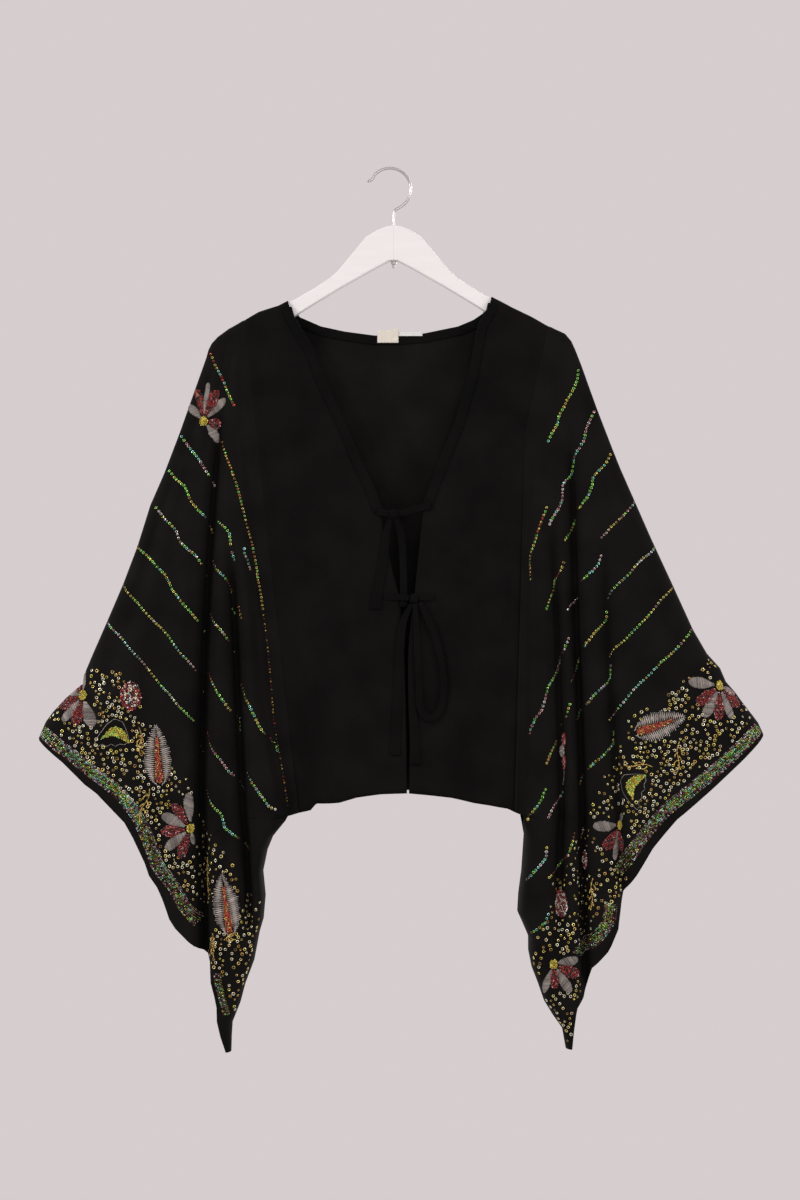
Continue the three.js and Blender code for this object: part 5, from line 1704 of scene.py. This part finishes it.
RIGHT.own_rows = [
    ([[189.7, 421], [184.5, 432], [178.8, 450], [174, 466], [170.3, 478], [169.2, 490],
      [169.8, 516]], (GREEN, GOLD, GREEN, CORAL, GOLD), 1.7),
    ([[229.5, 249.4], [228.7, 261], [219.7, 281.6], [205.5, 307.5], [202.9, 320.4],
      [190, 343.6]], GREEN_GOLD),
    ([[249.6, 301.8], [239, 321.7], [236.4, 338.5], [224.8, 356.5], [222.8, 364.5]], PINK_TEAL),
    ([[269.8, 354.7], [265.6, 362.2]], GREEN_GOLD),
    ([[223.3, 364.6], [221.4, 370.3], [218.1, 378.8], [211, 388.7], [208.6, 394.8],
      [208.1, 411.8], [204.4, 423.2], [196.8, 436.4], [191.1, 446.8]], PINK_TEAL),
    ([[265.8, 364.6], [255.4, 374], [246.9, 382.6], [245.9, 393.9], [241.2, 407.1],
      [234.6, 416.6], [228.9, 425.1], [225.1, 433.6], [219.5, 446.8], [210, 463.8]], GREEN_GOLD),
    ([[210, 489.3], [207.2, 496.9], [200.6, 506.3], [196.8, 512.8], [195.1, 525.2],
      [194, 528.1], [190.2, 539.4], [187.8, 549.8]], MOSTLY_GOLD),
    ([[255.4, 480.8], [251.6, 491.2], [244, 500.7], [232.7, 512], [228.9, 525.2],
      [224.2, 536.6], [217.6, 544.1], [212.9, 551.7]], PINK_TEAL),
    ([[261.3, 550.3], [260.5, 559], [251.1, 571.6], [238.5, 588.9], [232.2, 598.3],
      [225.9, 614.1], [222.7, 625.1], [217.2, 637.7]], GREEN_GOLD),
    ([[214.9, 582.6], [210.1, 596.8], [204.6, 606.2], [201.5, 620.4], [194.4, 634.6],
      [189.7, 645.6], [186.5, 661.3], [181.8, 673.9], [174.7, 681.8], [169.2, 696],
      [168.4, 703.9]], PINK_TEAL),
    ([[266, 616.5], [265.3, 629.8], [262.1, 637.7], [249.5, 650.3], [236.9, 666.1],
      [229, 675.5], [224.3, 686.5]], PEARL_GREEN),
    ([[216.4, 663.7], [212.5, 678.7], [207, 687.3], [203.1, 692.8]], GREEN_GOLD),
    ([[269.7, 698.2], [268.6, 713], [265.4, 717.2], [259.1, 725.6], [243.3, 740.4],
      [235.9, 748.9], [226.4, 767.9]], GREEN_GOLD),
    ([[198.9, 709.8], [192.6, 723.5], [187.3, 740.4]], MOSTLY_GOLD),
    ([[187.3, 767.9], [181, 782.6], [164.1, 806.9]], GREEN_GOLD),
    ([[207.4, 774.2], [196.8, 787.9], [189.4, 805.9]], PINK_TEAL),
    ([[222.2, 822.7], [217.9, 840.7], [215.8, 850.2], [203.2, 866], [190.5, 880.8]], GREEN_GOLD),
    ([[188.4, 839.6], [187.3, 852.3], [172.6, 871.3], [156.7, 890.3]], PEARL_GREEN),
    ([[190.5, 922], [185.2, 932.5], [168.3, 947.3]], GREEN_GOLD),
]
ROW_POINTS = 200
ROW_INTO_ZONE = 14
SHORTEST_ROW = 6


def embroider(side):
    """All trim on both layers of a sleeve, the same rows and motifs on each, because one cloth
    is folded over the arm."""
    trims = []
    for layer in LAYERS[side.name]:
        trim = Trim()
        for k, path in enumerate(marched_rows(layer)):
            away, share = from_cuff(layer, path[:, 0], path[:, 1])
            limit = read(side.zone, "share", "reach", share)
            ends = read(side.row_end, "drop", "out", path[:, 1])
            keep = (away > limit - ROW_INTO_ZONE) & (path[:, 0] > ends)
            keep &= layer.inside(path[:, 0], path[:, 1])
            stop = np.argmin(keep) if not keep.all() else len(keep)
            if stop > SHORTEST_ROW:
                lay_row(trim, layer, path[:stop], k, MARCHED_RADIUS)
        for row, tints, *radius in side.own_rows:
            size = radius[0] if radius else ROW_RADIUS
            lay_row(trim, layer, evened(row, ROW_POINTS), 0, size, tints)
        cuff_band(trim, layer)
        for shape, out, drop, *sizes in side.motifs:
            shape(trim, layer, out, drop, *sizes)
        scatter(trim, layer)
        trims.append(trim)
    return trims


TRIM_FINISH = {
    "sequins": (SEQUIN, "sequins"), "beads": (BEAD, "red_beads"), "stitches": (THREAD, "silver_thread"),
}
for side in SIDES:
    for trim, place in zip(embroider(side), ("front", "back")):
        for kind, rows in trim.kinds.items():
            if rows:
                made, slot = TRIM_FINISH[kind]
                finish_piece(sewn(f"{kind}_{side.name}_{place}", kind, rows), made, slot)

# Lights, floor and backdrop

BACKDROP = (0.69, 0.63, 0.64)
WORLD_STRENGTH = 0.97
world = bpy.data.worlds.new("studio")
bpy.context.scene.world = world
world.use_nodes = True
world.node_tree.nodes["Background"].inputs["Color"].default_value = (*BACKDROP, 1)
world.node_tree.nodes["Background"].inputs["Strength"].default_value = WORLD_STRENGTH
bpy.context.scene.view_settings.view_transform = "Standard"


def area_light(name, place, aim, size, power):
    """A rectangular light that looks from one point to another."""
    data = bpy.data.lights.new(name, "AREA")
    data.shape = "RECTANGLE"
    data.size, data.size_y = size
    data.energy = power
    obj = bpy.data.objects.new(name, data)
    obj.location = place
    look = Vector(aim) - Vector(place)
    obj.rotation_euler = look.to_track_quat("-Z", "Y").to_euler()
    bpy.context.collection.objects.link(obj)
    return obj


area_light("key_light", (-2.2, -1.3, 0.7), (0, 0, -0.55), (0.9, 0.9), 34)
area_light("fill_light", (2.2, -1.2, 0.3), (0, 0, -0.6), (0.8, 1.2), 18)
area_light("front_light", (0.5, -2.5, -0.1), (0, 0, -0.6), (0.8, 0.8), 7)
area_light("back_light", (0.9, 2.4, 0.8), (0, 0, -0.5), (1.2, 1.2), 26)

FLOOR_HEIGHT = -1.42
floor_mesh = bpy.data.meshes.new("floor")
floor_mesh.from_pydata(
    [(-30, -30, FLOOR_HEIGHT), (30, -30, FLOOR_HEIGHT), (30, 30, FLOOR_HEIGHT), (-30, 30, FLOOR_HEIGHT)],
    [], [(0, 1, 2, 3)],
)
floor = bpy.data.objects.new("floor", floor_mesh)
bpy.context.collection.objects.link(floor)
floor_finish, _, floor_shader = material(
    "pale_floor", (0, 0, 0), 1.0, Emission_Color=(*BACKDROP, 1), Emission_Strength=WORLD_STRENGTH,
)
floor_shader.inputs["Specular IOR Level"].default_value = 0
floor.data.materials.append(floor_finish)

# The CAD nodes that stay

for name, made in (("hanger", PAINT), ("hook_end", PLATE)):
    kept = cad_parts[name]
    kept.data.materials.clear()
    kept.data.materials.append(made)
